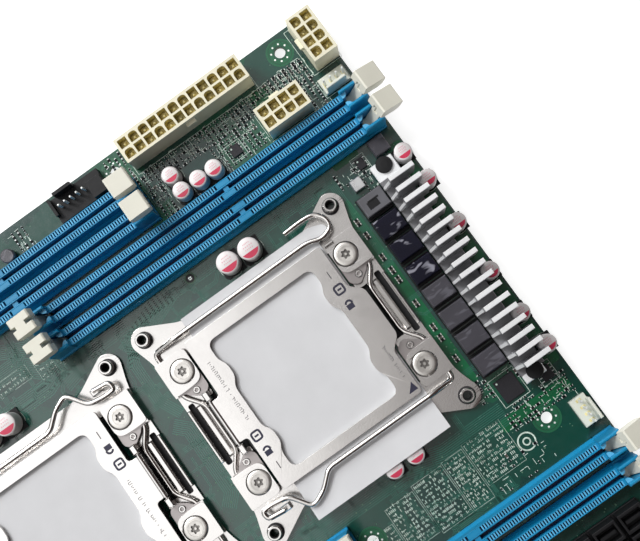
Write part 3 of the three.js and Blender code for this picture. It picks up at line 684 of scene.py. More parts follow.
def axle_run(side, start, end):
    """A lever's axle, with the crank in its middle that bears on the load plate."""
    x, z = AXLE
    turn = 1 if end > start else -1
    crank = [(x, -15.5), (CRANK_X, -9.3), (CRANK_X, 9.3), (x, 15.5)]
    run = [(x, start), *((u, turn * v) for u, v in crank), (x, end)]
    return [(side * u, v, z) for u, v in run]


HINGE_ARM = [(-31, 33.7), (26, 33.7), (31.4, 31.8), (35.8, 33.4), (36.2, 37), (33.4, 40.7)]
HINGE_ARM += [(28, 41.1), (21.3, 40.8)]
ACTIVE_ARM = [(31, -32.7), (-12.2, -32.7), (-17.9, -37.8), (-23.4, -40.1), (-28.7, -32.6)]
ACTIVE_ARM += [(-35.4, -31.6), (-38.9, -31.8), (-38.6, -34.9), (-32.3, -35.6)]


def make_levers(number, matrix):
    hinge = axle_run(-1, -28.5, 33.7) + [(x, y, 6.9) for x, y in HINGE_ARM]
    active = axle_run(1, 28.5, -32.7) + [(x, y, 7.3) for x, y in ACTIVE_ARM]
    for kind, route in (("hinge", hinge), ("active", active)):
        node = f"{kind}_lever_{number}"
        keep(lever_wire(f"{kind}_wire_{number}", route, matrix), node, [node])


def make_back_plate(number, matrix):
    outline = filleted(fourfold([(41, 6), (41, 31), (6, 31)]), 5, 6)
    window = filleted(fourfold([(24, 4), (24, 20), (4, 20)]), 4, 5)
    body = plate("back", outline, -TOP - 2.3, -TOP - 0.3, [window], 0.25, matrix, "dark_steel")
    screws = Build(matrix)
    for sx, sy in CORNERS:
        star_screw(screws, sx * SCREW[0], sy * SCREW[1])
    parts = [body, screws.object("screws", "screw recess")]
    obj = even_normals(merge(f"back_plate_set_{number}", parts))
    keep(obj, replaces=[f"back_plate_{number}"])


def star_screw(build, x, y):
    """A flat round head with a six-lobed recess, whose walls and floor are painted dark as shade.
    """
    build.lathe([(1.9, -TOP - 0.8), (1.9, 4.3)], 16, x, y)
    head = [(3.8, 3.6), (4.3, 4.3), (4.3, 5.2), (4.15, 5.5), (3.75, 5.68), (2.9, 5.7)]
    star = []
    for k in range(48):
        a = 2 * math.pi * k / 48
        r = 1.5 + 0.26 * math.cos(6 * a)
        star.append((r * math.cos(a), r * math.sin(a)))
    rings = [[(*p, z) for p in circle(x, y, radius, len(star))] for radius, z in head]
    for scale, z in ((1, 5.64), (0.9, 4.9)):
        rings.append([(x + px * scale, y + py * scale, z) for px, py in star])
    build.stack(rings, [0] * len(head) + [1])
    build.lathe([(0.6, 4.7), (0.6, 5.3), (0.45, 5.45)], 14, x, y)
    build.lathe([(2.5, 5.6), (2.9, 5.6), (2.8, 5.78), (2.6, 5.78)], 32, x, y, 0, loop=True)


SHEET_X0, SHEET_X1, SHEET_Y1, SHEET_THICK = -25.0, 29.3, 38.0, 0.26
SHEET_Y0 = {"1": -45.0, "2": -30.0}
PLATE_EDGE_Y = -30  # the load plate holds the card down as far as here


def make_cover_sheet(number, matrix):
    """Card that curls up past the load plate on socket 1 and ends under it on socket 2."""
    y0, columns, rows = SHEET_Y0[number], 22, 34
    rings = []
    for j in range(rows + 1):
        y = y0 + (SHEET_Y1 - y0) * j / rows
        lift = ((PLATE_EDGE_Y - y) / 15) ** 1.3 * 1.2 if y < PLATE_EDGE_Y else 0.0
        low = []
        for i in range(columns + 1):
            x = SHEET_X0 + (SHEET_X1 - SHEET_X0) * i / columns
            wave = 0.025 * math.sin(x * 0.22 + 1) * math.sin(y * 0.17)
            low.append((x, y, 5.02 + lift + wave))
        rings.append([(x, y, z + SHEET_THICK) for x, y, z in low] + low[::-1])
    build = Build(matrix)
    build.stack(rings)
    x = SHEET_X1 - 0.2
    build.prism([(x, 31.5), *arc(32.6, 34.7, 2, -60, 80, 8), (x, SHEET_Y1)], 5.0, 5.28)
    obj = build.object(f"card_sheet_{number}", "card", 30)
    keep(obj, replaces=[f"cover_sheet_{number}"])


def make_sockets():
    for number, turn in SOCKETS:
        x, y, _ = centre(f"socket_housing_{number}")
        matrix = on_board(x, y, turn)
        dress(f"socket_housing_{number}", "black", 0.15)
        make_socket_frame(number, matrix)
        make_load_plate(number, matrix)
        make_levers(number, matrix)
        make_back_plate(number, matrix)
        make_cover_sheet(number, matrix)


# ------------------------------------------------------------------ memory slots

ROW_START = 8.8  # from the end of a memory slot to its first contact
ROW = 123.2
KEY_X = ROW - 49.5
TOWER = 12.6
SLOTS = ["a1", "a2", "b1", "b2", "c1", "c2", "d1", "d2"]


def slot_mesh():
    """One memory slot, with its contact row from x = 0 to ROW: an open pocket for each
    contact on both sides of the card groove, a key bar and two latch towers."""
    build = Build()
    key0, key1 = KEY_X - 1.0, KEY_X + 1.0
    groove, rim_in, rim_out, half, foot = 0.8, 1.3, 3.0, 3.3, 4.3
    floor_z, top_z = 6.3, 8.0
    flank = [(foot, 0.3), (foot, 1.6), (half, 2.8), (half, floor_z), (groove, floor_z)]
    flank.append((groove, 3.2))
    build.along_x(flank + mirrored(flank, -1, 1), -1.5, ROW + 1.5)
    for side in (-1, 1):
        for a, b in ((rim_out, half), (groove, rim_in)):
            build.box(-1.5, ROW + 1.5, side * a, side * b, floor_z, top_z, 0, inset=0.08)
        y0, y1 = sorted((side * rim_in, side * rim_out))
        count = round(ROW)
        # the ribs between the contact pockets take the lighter blue: painted light
        for i in range(count + 1):
            x = ROW * i / count
            if not key0 - 1.6 < x < key1 + 1.6:
                build.box(x - 0.26, x + 0.26, y0, y1, floor_z, top_z, 1, inset=0.06)
        solid = ((key0 - 1.6, key1 + 1.6), (-1.5, -0.24), (ROW + 0.24, ROW + 1.5))
        for a, b in solid:
            build.box(a, b, y0, y1, floor_z, top_z, 0, inset=0.08)
        # a dark blue plate at the pockets' floor: painted shade
        build.box(0, ROW, y0 + 0.02, y1 - 0.02, floor_z - 0.1, floor_z + 0.08, 2)
    build.box(key0, key1, -groove, groove, 3.1, 7.4)
    # dark blue plates on the groove's floor beside the key bar: painted shade
    for a, b in ((-1.4, key0), (key1, ROW + 1.4)):
        build.box(a, b, -groove + 0.02, groove - 0.02, 3.1, 3.4, 2)
    flare = [(1.0, 0.8), (1.7, 0.8), (2.4, 1.15), (3.0, 1.9), (3.15, 2.5), (1.0, 2.5)]
    for edge, out in ((0, -1), (ROW, 1)):
        near, far = edge + out * 1.0, edge + out * 8.8
        for side in (-1, 1):
            build.box(near, far, side * 2.4, side * 3.6, 0.3, TOWER, 0, inset=0.4)
            arm = [(edge + x, y) for x, y in mirrored(flare, out, side)]
            # the arm's upper face takes the lighter blue: painted light
            build.prism(arm, 6.2, TOWER - 1.6, 0, top=1)
            build.box(near, edge + out * 1.6, side * 0.8, side * 2.45, 0.3, 6.3)
            build.box(near, far, side * 2.4, side * foot, 0.3, 2.0, 0, inset=0.2)
        build.box(near, far, -2.45, 2.45, 0.3, 1.0)
        build.box(edge + out * 8.0, far, -2.45, 2.45, 0.3, 2.6, 0, inset=0.2)
    for x in (22, ROW - 20):
        build.lathe([(0.95, -TOP - 2.3), (0.95, 0.6)], 12, x)
    return build


def make_memory_slots():
    template = slot_mesh()
    for key in SLOTS:
        low, high = box_mm(f"memory_slot_{key}")
        build = Build(on_board(low[0] + ROW_START, (low[1] + high[1]) / 2))
        build.add(template.points, template.faces, template.slots)
        obj = build.object(f"memory_housing_{key}", "blue blue_rib navy")
        keep(obj, replaces=[f"memory_slot_{key}"])
        for side in ("left", "right"):
            dress(f"latch_{key}_{side}", "ivory", 0.35)


# ------------------------------------------------------------------ power sockets

POWER_PITCH = 4.2
WELL = 1.7
NIB = 1.3
SHROUD_TOP = 12.8


def make_power_socket(name, columns, turn, key):
    """A shrouded power socket: thin cream walls round wells, half of them D-shaped; painted
    olive shade covers the wells' walls, floors and terminals.
    Its locking nib stands on the side that key, 1 or -1, gives."""
    x, y, _ = centre(name)
    if turn:
        x += key * NIB / 2
    else:
        y -= key * NIB / 2
    matrix = on_board(x, y, turn)
    half_x, half_y = columns * POWER_PITCH / 2 + 0.6, POWER_PITCH + 0.6
    build = Build(matrix)
    wells = []
    for i in range(columns):
        for row in (-1, 1):
            cx, cy = (i - (columns - 1) / 2) * POWER_PITCH, row * POWER_PITCH / 2
            rounded = (i % 4 in (1, 2)) == (row == -key)
            far = 1.5 if rounded else 0.15
            well = rectangle(-1, -1, 1, 1)
            well = [(cx + a * WELL, cy + b * WELL, far if b == -key else 0.15) for a, b in well]
            wells.append(filleted(well, 0.15, 5))
            # each well's floor and its terminal in olive: painted shade
            build.box(cx - WELL, cx + WELL, cy - WELL, cy + WELL, 2.8, 9.4, 1, inset=0.5)
            build.box(cx - 0.45, cx + 0.45, cy - 0.45, cy + 0.45, 9.0, 10.6, 1, inset=0.2)
    rim = filleted(rectangle(-half_x, -half_y, half_x, half_y), 0.3, 2)
    shroud = plate("shroud", rim, 2.6, SHROUD_TOP, wells, 0.1, matrix, "cream")
    # the wells' inner walls take the olive: painted shade
    shroud.data.materials.append(MATERIALS["olive"])
    back = matrix.inverted()
    for polygon in shroud.data.polygons:
        spot = back @ (polygon.center / MM)
        inside = abs(spot.x) < half_x - 0.3 and abs(spot.y) < half_y - 0.3
        if inside and spot.z < SHROUD_TOP - 0.15:
            polygon.material_index = 1
    build.box(-half_x, half_x, -half_y, half_y, 0.3, 2.9)
    near, far = half_y - 0.1, half_y + NIB
    ramp = mirrored([(near, 7.2), (far, 9.4), (far, 10.4), (near, 10.4)], key, 1)
    build.along_x(ramp, -1.9, 1.9)
    parts = [shroud, build.object("sockets", "cream olive")]
    keep(merge(name + "_body", parts), replaces=[name])


def make_power_sockets():
    make_power_socket("atx_power_socket", 12, 0.0, -1)
    make_power_socket("cpu_power_socket_1", 4, math.pi / 2, 1)
    make_power_socket("cpu_power_socket_2", 4, 0.0, 1)


# ------------------------------------------------------------------ capacitors, chokes

# Cans: x, y, radius, height.
CANS = [
    (123.9, 90.1, 3.15, 9),
    (125.3, 77.8, 3.15, 9),
    (124.7, 59.8, 3.15, 9),
    (123.8, 39.9, 3.15, 9),
    (123.8, 22.6, 3.15, 9),
    (124.8, 9.2, 3.15, 9),
    (54.0, 131.3, 3.15, 8),
    (54.2, 124.6, 3.15, 8),
    (61.3, 124.5, 3.15, 8),
    (67.8, 124.4, 3.15, 8),
    (52.9, 94.5, 4.0, 8.4),
    (61.6, 94.1, 4.0, 8.4),
    (-42.2, 93.9, 4.0, 8.4),
    (-51.0, 94.0, 4.0, 8.4),
    (58.5, 4.4, 3.3, 5.6),
    (67.1, 4.4, 3.3, 5.6),
]


def add_can(build, x, y, radius, height):
    """An upright can: black base plate, crimped side, top with a coloured wedge."""
    build.place(x, y)
    base, cut = radius + 0.2, 0.9
    foot = [(-base, -base + cut), (-base + cut, -base), (base, -base)]
    build.prism(foot + mirrored(foot, 1, -1), 0, 0.9, 3)
    profile = [
        (radius - 0.15, 0.8),
        (radius, 1.2),
        (radius, 1.9),
        (radius - 0.3, 2.3),
        (radius, 2.8),
        (radius, height - 0.6),
        (radius - 0.12, height - 0.25),
        (radius - 0.4, height - 0.06),
        (radius - 0.6, height),
    ]
    build.lathe(profile, 36)
    inner = radius - 0.62
    start = math.degrees(math.asin(-0.36))
    build.prism(arc(0, 0, inner, 180 - start, 360 + start, 22), height, height + 0.03, 2)
    for row, length in ((0.52, 0.42), (0.2, 0.6), (-0.12, 0.5)):
        step = inner * length / 2.5
        for k in range(-2, 3):
            px, py = k * step, row * inner
            tick = rectangle(px, py, px + step * 0.45, py + 0.45)
            build.prism(tick, height, height + 0.02, 4)


def make_cans():
    build = Build()
    for can in CANS:
        add_can(build, *can)
    keep(build.object("can_capacitors", "can tin red black can_ink", 35))


CHOKE_PITCH = 9.47


def make_chokes():
    """Moulded blocks on black bases; the first of each row is pale, the next three glossy."""
    build = Build()
    for i in range(8):
        finish = 1 if i == 0 else 2 if i < 4 else 0
        y = 82.1 - i * CHOKE_PITCH
        for cx, cy in ((105.9, y), (-93.2, y + 4.2)):
            build.place(cx, cy)
            build.box(-5.2, 5.2, -4.5, 4.5, 0.1, 2.0, 3)
            build.box(-4.85, 4.85, -3.6, 3.6, 0.4, 7.0, finish, inset=0.3)
            if finish == 1:
                build.box(-2.6, 1.6, -1.9, 0.9, 6.9, 7.04, 3)
                build.box(-2.0, 2.4, 0.6, 1.3, 6.9, 7.04, 3)
    keep(bevel(build.object("block_chokes", "choke choke_pale choke_gloss black"), 0.1))


# ------------------------------------------------------------------ regulator heatsinks

FINS = 18
FIN_PITCH = 4.42
FIN_TOP = 20.0
REGULATOR_Y = {"1": 45.8, "2": 50.0}


def make_regulator_heatsink(number, turn):
    low, high = box_mm(f"regulator_heatsink_{number}")
    x = (low[0] + high[0]) / 2 - math.cos(turn) * 1.05
    build = Build().place(x, REGULATOR_Y[number], turn)
    end = (FINS - 1) * FIN_PITCH / 2
    # the rail's base, seen in the valleys between fins, in a dark copy of the aluminium: painted
    # shade
    build.box(-4.8, 4.6, -end - 3.4, end + 3.0, 3, 5.6, 3, inset=0.2)
    build.box(-4.6, 3.4, -end - 6.4, -end - 2.6, 3, 5.5, 1, inset=0.3)
    build.box(-4.7, 4.2, end + 2.6, end + 9.2, 3, 5.7, 1, inset=0.3)
    # each fin's sides take a darker copy of the aluminium and its top the bright one: painted shade
    for i in range(FINS):
        fin = i * FIN_PITCH - end
        build.box(-2.7, 7, fin - 0.8, fin + 0.8, 5.4, FIN_TOP - 0.4)
        build.box(-2.7, 7, fin - 0.85, fin + 0.85, FIN_TOP - 0.45, FIN_TOP, 1, inset=0.15)
        comb = [(-4.9, 5.4), (-4.9, 8.2), (-2.6, 14.6), (-2.6, 5.4)]
        build.along_y(comb, fin - 0.5, fin + 0.5, 1)
    for y in (end + 7.2, -end - 3.9):
        build.lathe([(3.0, 5.6), (3.0, 6.6), (2.8, 6.9), (1.2, 7.0)], 28, 0.1, y, 2)
    obj = build.object(f"finned_rail_{number}", "fin_side fin black fin_base")
    keep(obj, replaces=[f"regulator_heatsink_{number}"])


# ------------------------------------------------------------------ chips


def add_chip_pair(build, x, y, turn, size, kind):
    """A two-terminal surface part: body in the middle, tinned ends."""
    long, wide, tall = size
    build.place(x, y, turn)
    half, end = long / 2, long * 0.17
    build.box(-half + end, half - end, -wide / 2, wide / 2, 0.02, tall, kind, inset=0.04)
    for s in (-1, 1):
        x0, x1 = s * (half + 0.06), s * (half - end)
        build.box(x0, x1, -wide * 0.44, wide * 0.44, 0.02, tall + 0.01, 2, inset=0.1)


R0402, R0603 = (1.0, 0.5, 0.35), (1.6, 0.8, 0.5)

# Fields of small parts: low x, low y, high x, high y, column pitch, row pitch, fill, turned.
FIELDS = [
    (45, 133.2, 112, 140.6, 2.15, 1.25, 0.93, 0),
    (70.5, 122.6, 89.5, 133, 2.15, 1.3, 0.9, 0),
    (109.6, 120.5, 115.5, 133, 2.0, 1.3, 0.9, 1),
    (99, 132.2, 116, 141, 2.15, 1.3, 0.9, 0),
    (36.5, 136.5, 44, 151, 2.1, 1.4, 0.8, 1),
    (44.5, 118.6, 50, 133, 2.1, 1.3, 0.85, 0),
    (55, 118.4, 70, 121.6, 2.15, 1.4, 0.5, 0),
    (100, -9, 124, -1, 2.15, 1.5, 0.62, 0),
    (109, 6, 115.4, 13, 2.1, 1.5, 0.7, 1),
    (96, 4.5, 101.5, 13.5, 2.15, 1.5, 0.75, 0),
    (107.5, 87.3, 113.5, 98.8, 2.1, 1.5, 0.6, 0),
    (100, 93, 107, 99, 2.2, 1.6, 0.5, 1),
    (-42, 139.8, -15, 150.6, 2.2, 1.6, 0.85, 1),
    (-5, 139.8, 1, 150.5, 2.2, 1.6, 0.8, 1),
    (84, -24, 106, -14, 2.6, 2.0, 0.25, 0),
    (20, -52, 84, -46, 2.8, 2.2, 0.35, 0),
    (10, -75, 44, -150, 4.2, 4.0, 0.2, 1),
    (84, -112, 122, -70, 3.2, 3.0, 0.35, 0),
    (-100, 98, -60, 118, 3.4, 3.0, 0.25, 0),
    (-86, 4, -20, 8, 2.8, 2.0, 0.4, 0),
]
# Triples of decoupling parts beside the row of chokes, at these heights along the row.
DECOUPLING_X = 97.4
DECOUPLING = [80.3, 74.7, 65.4, 59.8, 55.9, 45.7, 35.6, 31.2, 22.5]


def make_small_parts():
    build = Build()
    for x0, y0, x1, y1, px, py, fill, turned in FIELDS:
        y0, y1 = sorted((y0, y1))
        columns, rows = int((x1 - x0) / px), int((y1 - y0) / py)
        for i in range(columns + 1):
            for j in range(rows + 1):
                if random.random() > fill:
                    continue
                size = random.choice([R0402, R0402, R0603])
                kind = 1 if random.random() < 0.07 else 0
                turn = math.pi / 2 if turned or random.random() < 0.12 else 0.0
                add_chip_pair(build, x0 + i * px, y0 + j * py, turn, size, kind)
    for y in DECOUPLING:
        for k in range(3):
            add_chip_pair(build, DECOUPLING_X, y + k - 1, 0.0, R0603, k % 2)
    keep(build.object("small_parts", "resist ceramic tin"))


# Packages: x, y, width, depth, height, leads per side along x faces and y faces.
PACKAGES = [
    (106.2, 4.2, 7.6, 8.2, 0.9, 0, 0),
    (119.2, 0.9, 4.0, 4.9, 1.5, 4, 0),
    (110.3, 96.5, 3.0, 3.9, 1.2, 3, 0),
    (77.5, 126.5, 4.0, 4.0, 0.9, 0, 0),
    (118, 80, 5.0, 6.0, 1.0, 0, 4),
    (30, -95, 14, 14, 1.4, 12, 12),
    (100, -95, 12, 12, 1.4, 10, 10),
    (52, -122, 20, 20, 1.6, 0, 0),
    (-110, -60, 9, 9, 1.2, 8, 8),
    (-80, 108, 6, 5, 1.4, 4, 0),
    (88, -130, 8, 6, 1.5, 6, 0),
]
# Driver stages under each heatsink's rail: the heatsink, and the x of the row.
DRIVERS = (("regulator_heatsink_1", 116.5), ("regulator_heatsink_2", -104.0))
DRIVER_PITCH = 9.46


def make_packages():
    build = Build()
    for x, y, wide, deep, tall, side_leads, end_leads in PACKAGES:
        build.place(x, y)
        build.box(-wide / 2, wide / 2, -deep / 2, deep / 2, 0.1, tall, 0, inset=0.12)
        dot = [(0.35, tall - 0.02), (0.35, tall + 0.02)]
        build.lathe(dot, 16, -wide / 2 + 0.9, deep / 2 - 0.9, 2)
        for leads, across, along, turn in (
            (side_leads, wide, deep, 0.0),
            (end_leads, deep, wide, math.pi / 2),
        ):
            build.place(x, y, turn)
            for k in range(leads):
                lead = (k - (leads - 1) / 2) * along * 0.86 / max(1, leads - 1)
                for s in (-1, 1):
                    x0, x1 = s * across / 2, s * (across / 2 + 0.9)
                    build.box(x0, x1, lead - 0.16, lead + 0.16, 0.02, 0.3, 1, inset=0.05)
    for heatsink, x in DRIVERS:
        middle = centre(heatsink)[1]
        for i in range(8):
            build.place(x, middle - 3.5 * DRIVER_PITCH + 0.01 + i * DRIVER_PITCH)
            build.box(-3.2, 3.2, -2.6, 2.6, 0.1, 2.6, 0, inset=0.12)
    # a square inductor, its small bright neighbour and a round one
    build.place(118.9, 97.7)
    build.box(-3.1, 3.1, -3.1, 3.1, 0.1, 4.0, 3, inset=0.3)
    build.place(105.05, 91.05)
    build.box(-2.15, 2.15, -2.2, 2.2, 0.1, 3.0, 4, inset=0.25)
    build.place(-9.9, 143.2)
    build.lathe([(2.6, 0.1), (2.6, 3.2), (2.2, 3.5)], 28, slot=3)
    keep(build.object("chip_packages", "epoxy tin silk choke shell"))


# ------------------------------------------------------------------ print and copper


def bundle(build, path, count, pitch, width):
    """Parallel etched tracks that follow a path of straight runs."""
    path = [Vector(p) for p in path]
    runs = [(b - a).normalized() for a, b in zip(path, path[1:])]
    for k in range(count):
        offset = (k - (count - 1) / 2) * pitch
        track = []
        for here, a, b in zip(path, runs[:1] + runs, runs + runs[-1:]):
            way = (a + b).normalized()
            normal = Vector((-way.y, way.x))
            stretch = 1 / max(0.4, normal.dot(Vector((-a.y, a.x))))
            track.append(tuple(here + normal * offset * stretch))
        build.line(track, width)


# Bundles of tracks: path, count, pitch, width.
BUNDLES = [
    ([(96, 60), (98, 62), (98, 100), (92, 104)], 5, 0.6, 0.22),
    ([(5, 90), (30, 100), (100, 100)], 12, 0.7, 0.25),
    ([(-20, 96), (0, 101), (30, 101)], 14, 0.75, 0.25),
    ([(-60, 97), (-25, 97), (-15, 101), (10, 101)], 10, 0.7, 0.25),
    ([(20, 2), (60, 2), (75, -2), (100, -2)], 12, 0.7, 0.25),
    ([(4, 60), (8, 56), (8, 30), (4, 26)], 8, 0.7, 0.25),
    ([(8, 92), (5, 85), (5, 70), (9, 62)], 6, 0.7, 0.25),
    ([(40, 112), (44, 122), (50, 128), (50, 134)], 6, 0.8, 0.25),
    ([(-70, 110), (-30, 110), (-24, 104), (0, 98)], 10, 0.7, 0.25),
    ([(-90, 121), (-40, 121), (-24, 113)], 8, 0.7, 0.25),
    ([(36, 121), (44, 121), (44, 140)], 6, 0.8, 0.25),
    ([(-20, -50), (-20, -110), (20, -140)], 16, 0.8, 0.25),
    ([(40, -48), (50, -60), (50, -64)], 14, 0.8, 0.25),
    ([(-90, -24), (-90, -50), (-60, -48)], 12, 0.8, 0.25),
]

# Wide copper areas under the lacquer: low x, low y, high x, high y.
POURS = [
    (95.2, 12, 99.6, 89),
    (120.6, 2, 126.2, 96),
    (36.2, 133.6, 43.8, 141.6),
    (38, 121, 49, 126.6),
    (91.4, 133.5, 100, 139.6),
    (101.5, 99.4, 112, 104.4),
    (96, -8, 124, -3.4),
    (101, 13.2, 119, 14.6),
]


def make_copper():
    pours = Build().place()
    for area in POURS:
        pours.prism(filleted(rectangle(*area), 1.2, 4), 0.0, 0.015)
    keep(pours.object("copper_pours", "pour"))
    build = Build().place()
    for path, count, pitch, width in BUNDLES:
        bundle(build, path, count, pitch, width)
    # short jogged tracks between the sockets and the memory
    for _ in range(420):
        start = Vector((random.uniform(-60, 92), random.uniform(-40, 112)))
        run = random.uniform(4, 13)
        way = Vector(random.choice([(1, 0), (0, 1), (-1, 0), (0, -1)]))
        jog = random.choice([-1, 1]) * random.uniform(1, 2.5)
        elbow = start + way * run
        end = elbow + way * abs(jog) + Vector((way.y, way.x)) * jog
        path = [start, elbow, end, end + way * run * 0.6]
        bundle(build, path, random.choice([2, 3, 4]), 0.55, 0.18)
    keep(build.object("copper_tracks", "trace"))
    vias = Build()
    for _ in range(2600):
        vias.place(random.uniform(-120, 124), random.uniform(-148, 149))
        vias.prism(circle(0, 0, random.choice([0.2, 0.28]), 8), 0, 0.03)
    keep(vias.object("vias", "pale"))


# Blocks of printed dashes that stand for tables: low x, low y, high x, high y, row pitch.
TABLES = [
    (34, -20, 46, -11, 1.7),
    (48, -21, 58, -6, 1.5),
    (60, -22, 71, -4.5, 1.5),
    (73, -22, 80, -4, 1.4),
    (82, -18, 96, -3, 1.6),
    (20, -8, 31, -4, 2.0),
    (-24, 101, -14, 107, 2.2),
    (-40, 104, -28, 108, 2.2),
]
RINGED_SIGN = (100.3, -14)


def make_print():
    build = Build().place()

    def frame_lines(x0, y0, x1, y1, width=0.18):
        corners = rectangle(x0, y0, x1, y1)
        for ends in zip(corners, corners[1:] + corners[:1]):
            build.line(ends, width)

    for name in ("atx_power_socket", "cpu_power_socket_1", "cpu_power_socket_2", "fan_header_1"):
        low, high = box_mm(name)
        frame_lines(low[0] - 0.5, low[1] - 0.5, high[0] + 0.5, high[1] + 0.5)
    for x, y, radius, _ in CANS:
        build.outline(circle(x, y, radius + 0.6, 24), 0.2)
    for x, y, wide, deep, *_ in PACKAGES:
        half_x, half_y = wide / 2 + 1.2, deep / 2 + 1.2
        frame_lines(x - half_x, y - half_y, x + half_x, y + half_y)
    for radius in (3.0, 1.2):
        build.outline(circle(*RINGED_SIGN, radius, 28), 0.5)
    for x0, y0, x1, y1, pitch in TABLES:
        frame_lines(x0 - 0.7, y0 - 0.8, x1 + 0.7, y1 + 0.6, 0.1)
        for j in range(int((y1 - y0) / pitch) + 1):
            x, y = x0, y0 + j * pitch
            while x < x1:
                if random.random() < 0.82:
                    tall = random.choice([0.5, 0.9, 1.1])
                    build.line([(x, y), (x, y + tall)], 0.24)
                if random.random() < 0.45:
                    build.line([(x, y + 0.5), (x + 0.45, y + 0.5)], 0.22)
                x += random.choice([0.55, 0.6, 0.6, 1.5])
    # short printed dashes among the small parts
    for x0, y0, x1, y1, _, _, fill, _ in FIELDS:
        area = abs((x1 - x0) * (y1 - y0))
        for _ in range(int(area * 0.4 * fill)):
            x, y = random.uniform(x0, x1), random.uniform(*sorted((y0, y1)))
            length = random.uniform(0.8, 2.4)
            end = (x - length, y) if random.random() < 0.5 else (x, y - length)
            build.line([(x, y), end], 0.2, 0, 0.05)
    keep(build.object("white_print", "silk"))


# ------------------------------------------------------------------ everything else

PIN_PITCH = 2.54


def make_headers():
    for name, turn in (("fan_header_1", math.pi), ("fan_header_2", -math.pi / 2)):
        x, y, _ = centre(name)
        build = Build().place(x, y, turn)
        build.box(-5.1, 5.1, -3, 3, 0.3, 3.0, 0, inset=0.2)
        build.box(-3.4, 4.4, 2, 3, 2.8, 9.6, 0, inset=0.2)
        for k in (-1.5, -0.5, 0.5, 1.5):
            x = k * PIN_PITCH
            build.box(x - 0.5, x + 0.5, -1.0, 1.0, 2.6, 3.05, 2)
            build.box(x - 0.32, x + 0.32, -0.32, 0.32, 2.6, 10.2, 1, inset=0.12)
        obj = build.object(name + "_body", "white tin olive")
        keep(obj, replaces=[name])
    low, _ = box_mm("signal_header")
    tips = Build().place(low[0] + 8.4, low[1] + 5.2)
    for k in range(-2, 3):
        x = k * PIN_PITCH
        tips.box(x - 0.35, x + 0.35, -0.35, 0.35, 3.1, 8.08, 0, inset=0.15)
    keep(tips.object("signal_pins", "tin"))


DRESSED = [
    ("chipset_heatsink", "fin", 0.15),
    *((f"card_slot_{i}", "black", 0.2) for i in range(1, 6)),
    ("cell_holder", "black", 0.2),
    ("coin_cell", "cell", 0.4),
    ("video_socket", "shell", 0.25),
    ("usb_stack", "shell", 0.25),
    ("network_stack_1", "shell", 0.25),
    ("network_stack_2", "shell", 0.25),
    ("signal_header", "black", 0.15),
    ("drive_ports", "black", 0.2),
]


def make_rest():
    for number, turn in SOCKETS:
        make_regulator_heatsink(number, turn)
    for node, finish, edge in DRESSED:
        dress(node, finish, edge)


# ------------------------------------------------------------------ stage

FLOOR_HALF = 3.0
FLOOR_GLOW = 0.78


def make_floor():
    floor_z = cad_box[0][2]
    mesh = bpy.data.meshes.new("floor")
    corners = rectangle(-FLOOR_HALF, -FLOOR_HALF, FLOOR_HALF, FLOOR_HALF)
    mesh.from_pydata([(*p, floor_z) for p in corners], [], [(0, 1, 2, 3)])
    tree = MATERIALS["floor"].node_tree
    glow = {"Emission Color": (1, 1, 1, 1), "Emission Strength": FLOOR_GLOW}
    feed(tree, tree.nodes["Principled BSDF"], glow)
    mesh.materials.append(MATERIALS["floor"])
    linked("floor", mesh)


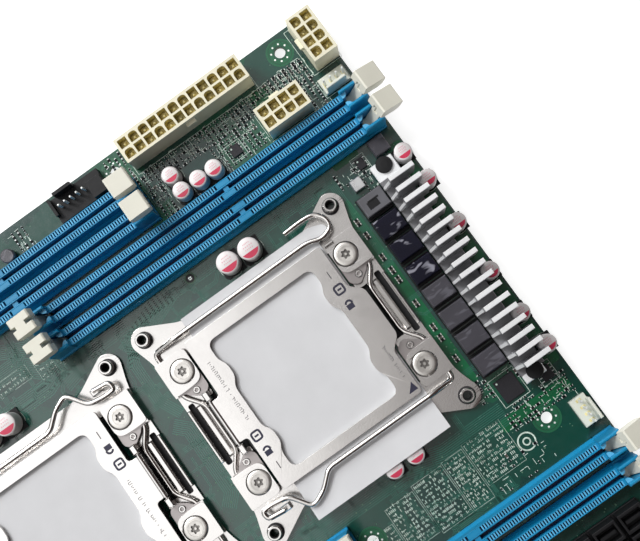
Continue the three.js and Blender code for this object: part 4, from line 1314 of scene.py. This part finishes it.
def make_room():
    """Bright towards the left and back, warm and dim towards the right and front."""
    world = bpy.data.worlds.new("studio")
    bpy.context.scene.world = world
    world.use_nodes = True
    tree = world.node_tree
    way = add_node(tree, "TexCoord").outputs["Generated"]
    inputs = {0: way, 1: (-0.8, 0.6, 0)}
    along = add_node(tree, "VectorMath", inputs, operation="DOT_PRODUCT").outputs["Value"]
    inputs = {"Value": along, "From Min": -0.12, "From Max": 0.3}
    spread = add_node(tree, "MapRange", inputs).outputs["Result"]
    stops = (0, (0.075, 0.055, 0.05)), (0.3, (0.66, 0.64, 0.63)), (1, (1, 1, 1))
    inputs = {
        "Value": add_node(tree, "SeparateXYZ", {0: way}).outputs["Z"],
        "From Min": 0.2,
        "From Max": 0.8,
        "To Min": 0.4,
    }
    rise = add_node(tree, "MapRange", inputs).outputs["Result"]
    inputs = {0: add_ramp(tree, spread, *stops), "Scale": rise}
    dimmed = add_node(tree, "VectorMath", inputs, operation="SCALE").outputs["Vector"]
    feed(tree, tree.nodes["Background"], {"Color": dimmed, "Strength": 0.95})


# Lights: name, kind, place in metres, energy, size in metres or degrees.
LIGHTS = [
    ("softbox", "AREA", (-0.32, 0.08, 1.0), 0.55, 0.5),
    ("fill", "AREA", (-0.25, 1.1, 1.0), 13, 1.0),
    ("sun", "SUN", (-0.65, 1.0, 1.4), 1.2, 15),
]


def make_stage():
    make_floor()
    # a dark card over the bench, which the bright metal mirrors
    flag = Build()
    flag.box(50, 125, 104, 168, 1000, 1002)
    flag.object("dark_card", "flag")
    make_room()
    for name, kind, location, energy, size in LIGHTS:
        data = bpy.data.lights.new(name, kind)
        data.energy = energy
        if kind == "SUN":
            data.angle = math.radians(size)
        else:
            data.shape = "SQUARE"
            data.size = size
        obj = linked(name, data)
        obj.location = location
        obj.rotation_euler = (-Vector(location)).to_track_quat("-Z", "Y").to_euler()


def make_camera():
    """The camera was solved from the board's known sizes; its three axes and place."""
    right = Vector((0.81197, -0.57851, -0.07765))
    up = Vector((0.58350, 0.80795, 0.08207))
    back = -Vector((-0.01526, 0.11195, -0.99360))
    camera = bpy.data.cameras.new("camera")
    camera.sensor_width = 36
    camera.lens = 60.25
    camera.clip_start = 0.01
    camera.clip_end = 20
    obj = linked("camera", camera)
    matrix = Matrix((right, up, back)).transposed().to_4x4()
    matrix.translation = Vector((82.73, 32.66, 370.71 + TOP)) * MM
    obj.matrix_world = matrix
    bpy.context.scene.camera = obj
    bpy.context.scene.view_settings.view_transform = "Standard"


make_camera()
make_board()
make_fixing_rings()
make_sockets()
make_memory_slots()
make_power_sockets()
make_cans()
make_chokes()
make_small_parts()
make_packages()
make_copper()
make_print()
make_headers()
make_rest()
make_stage()
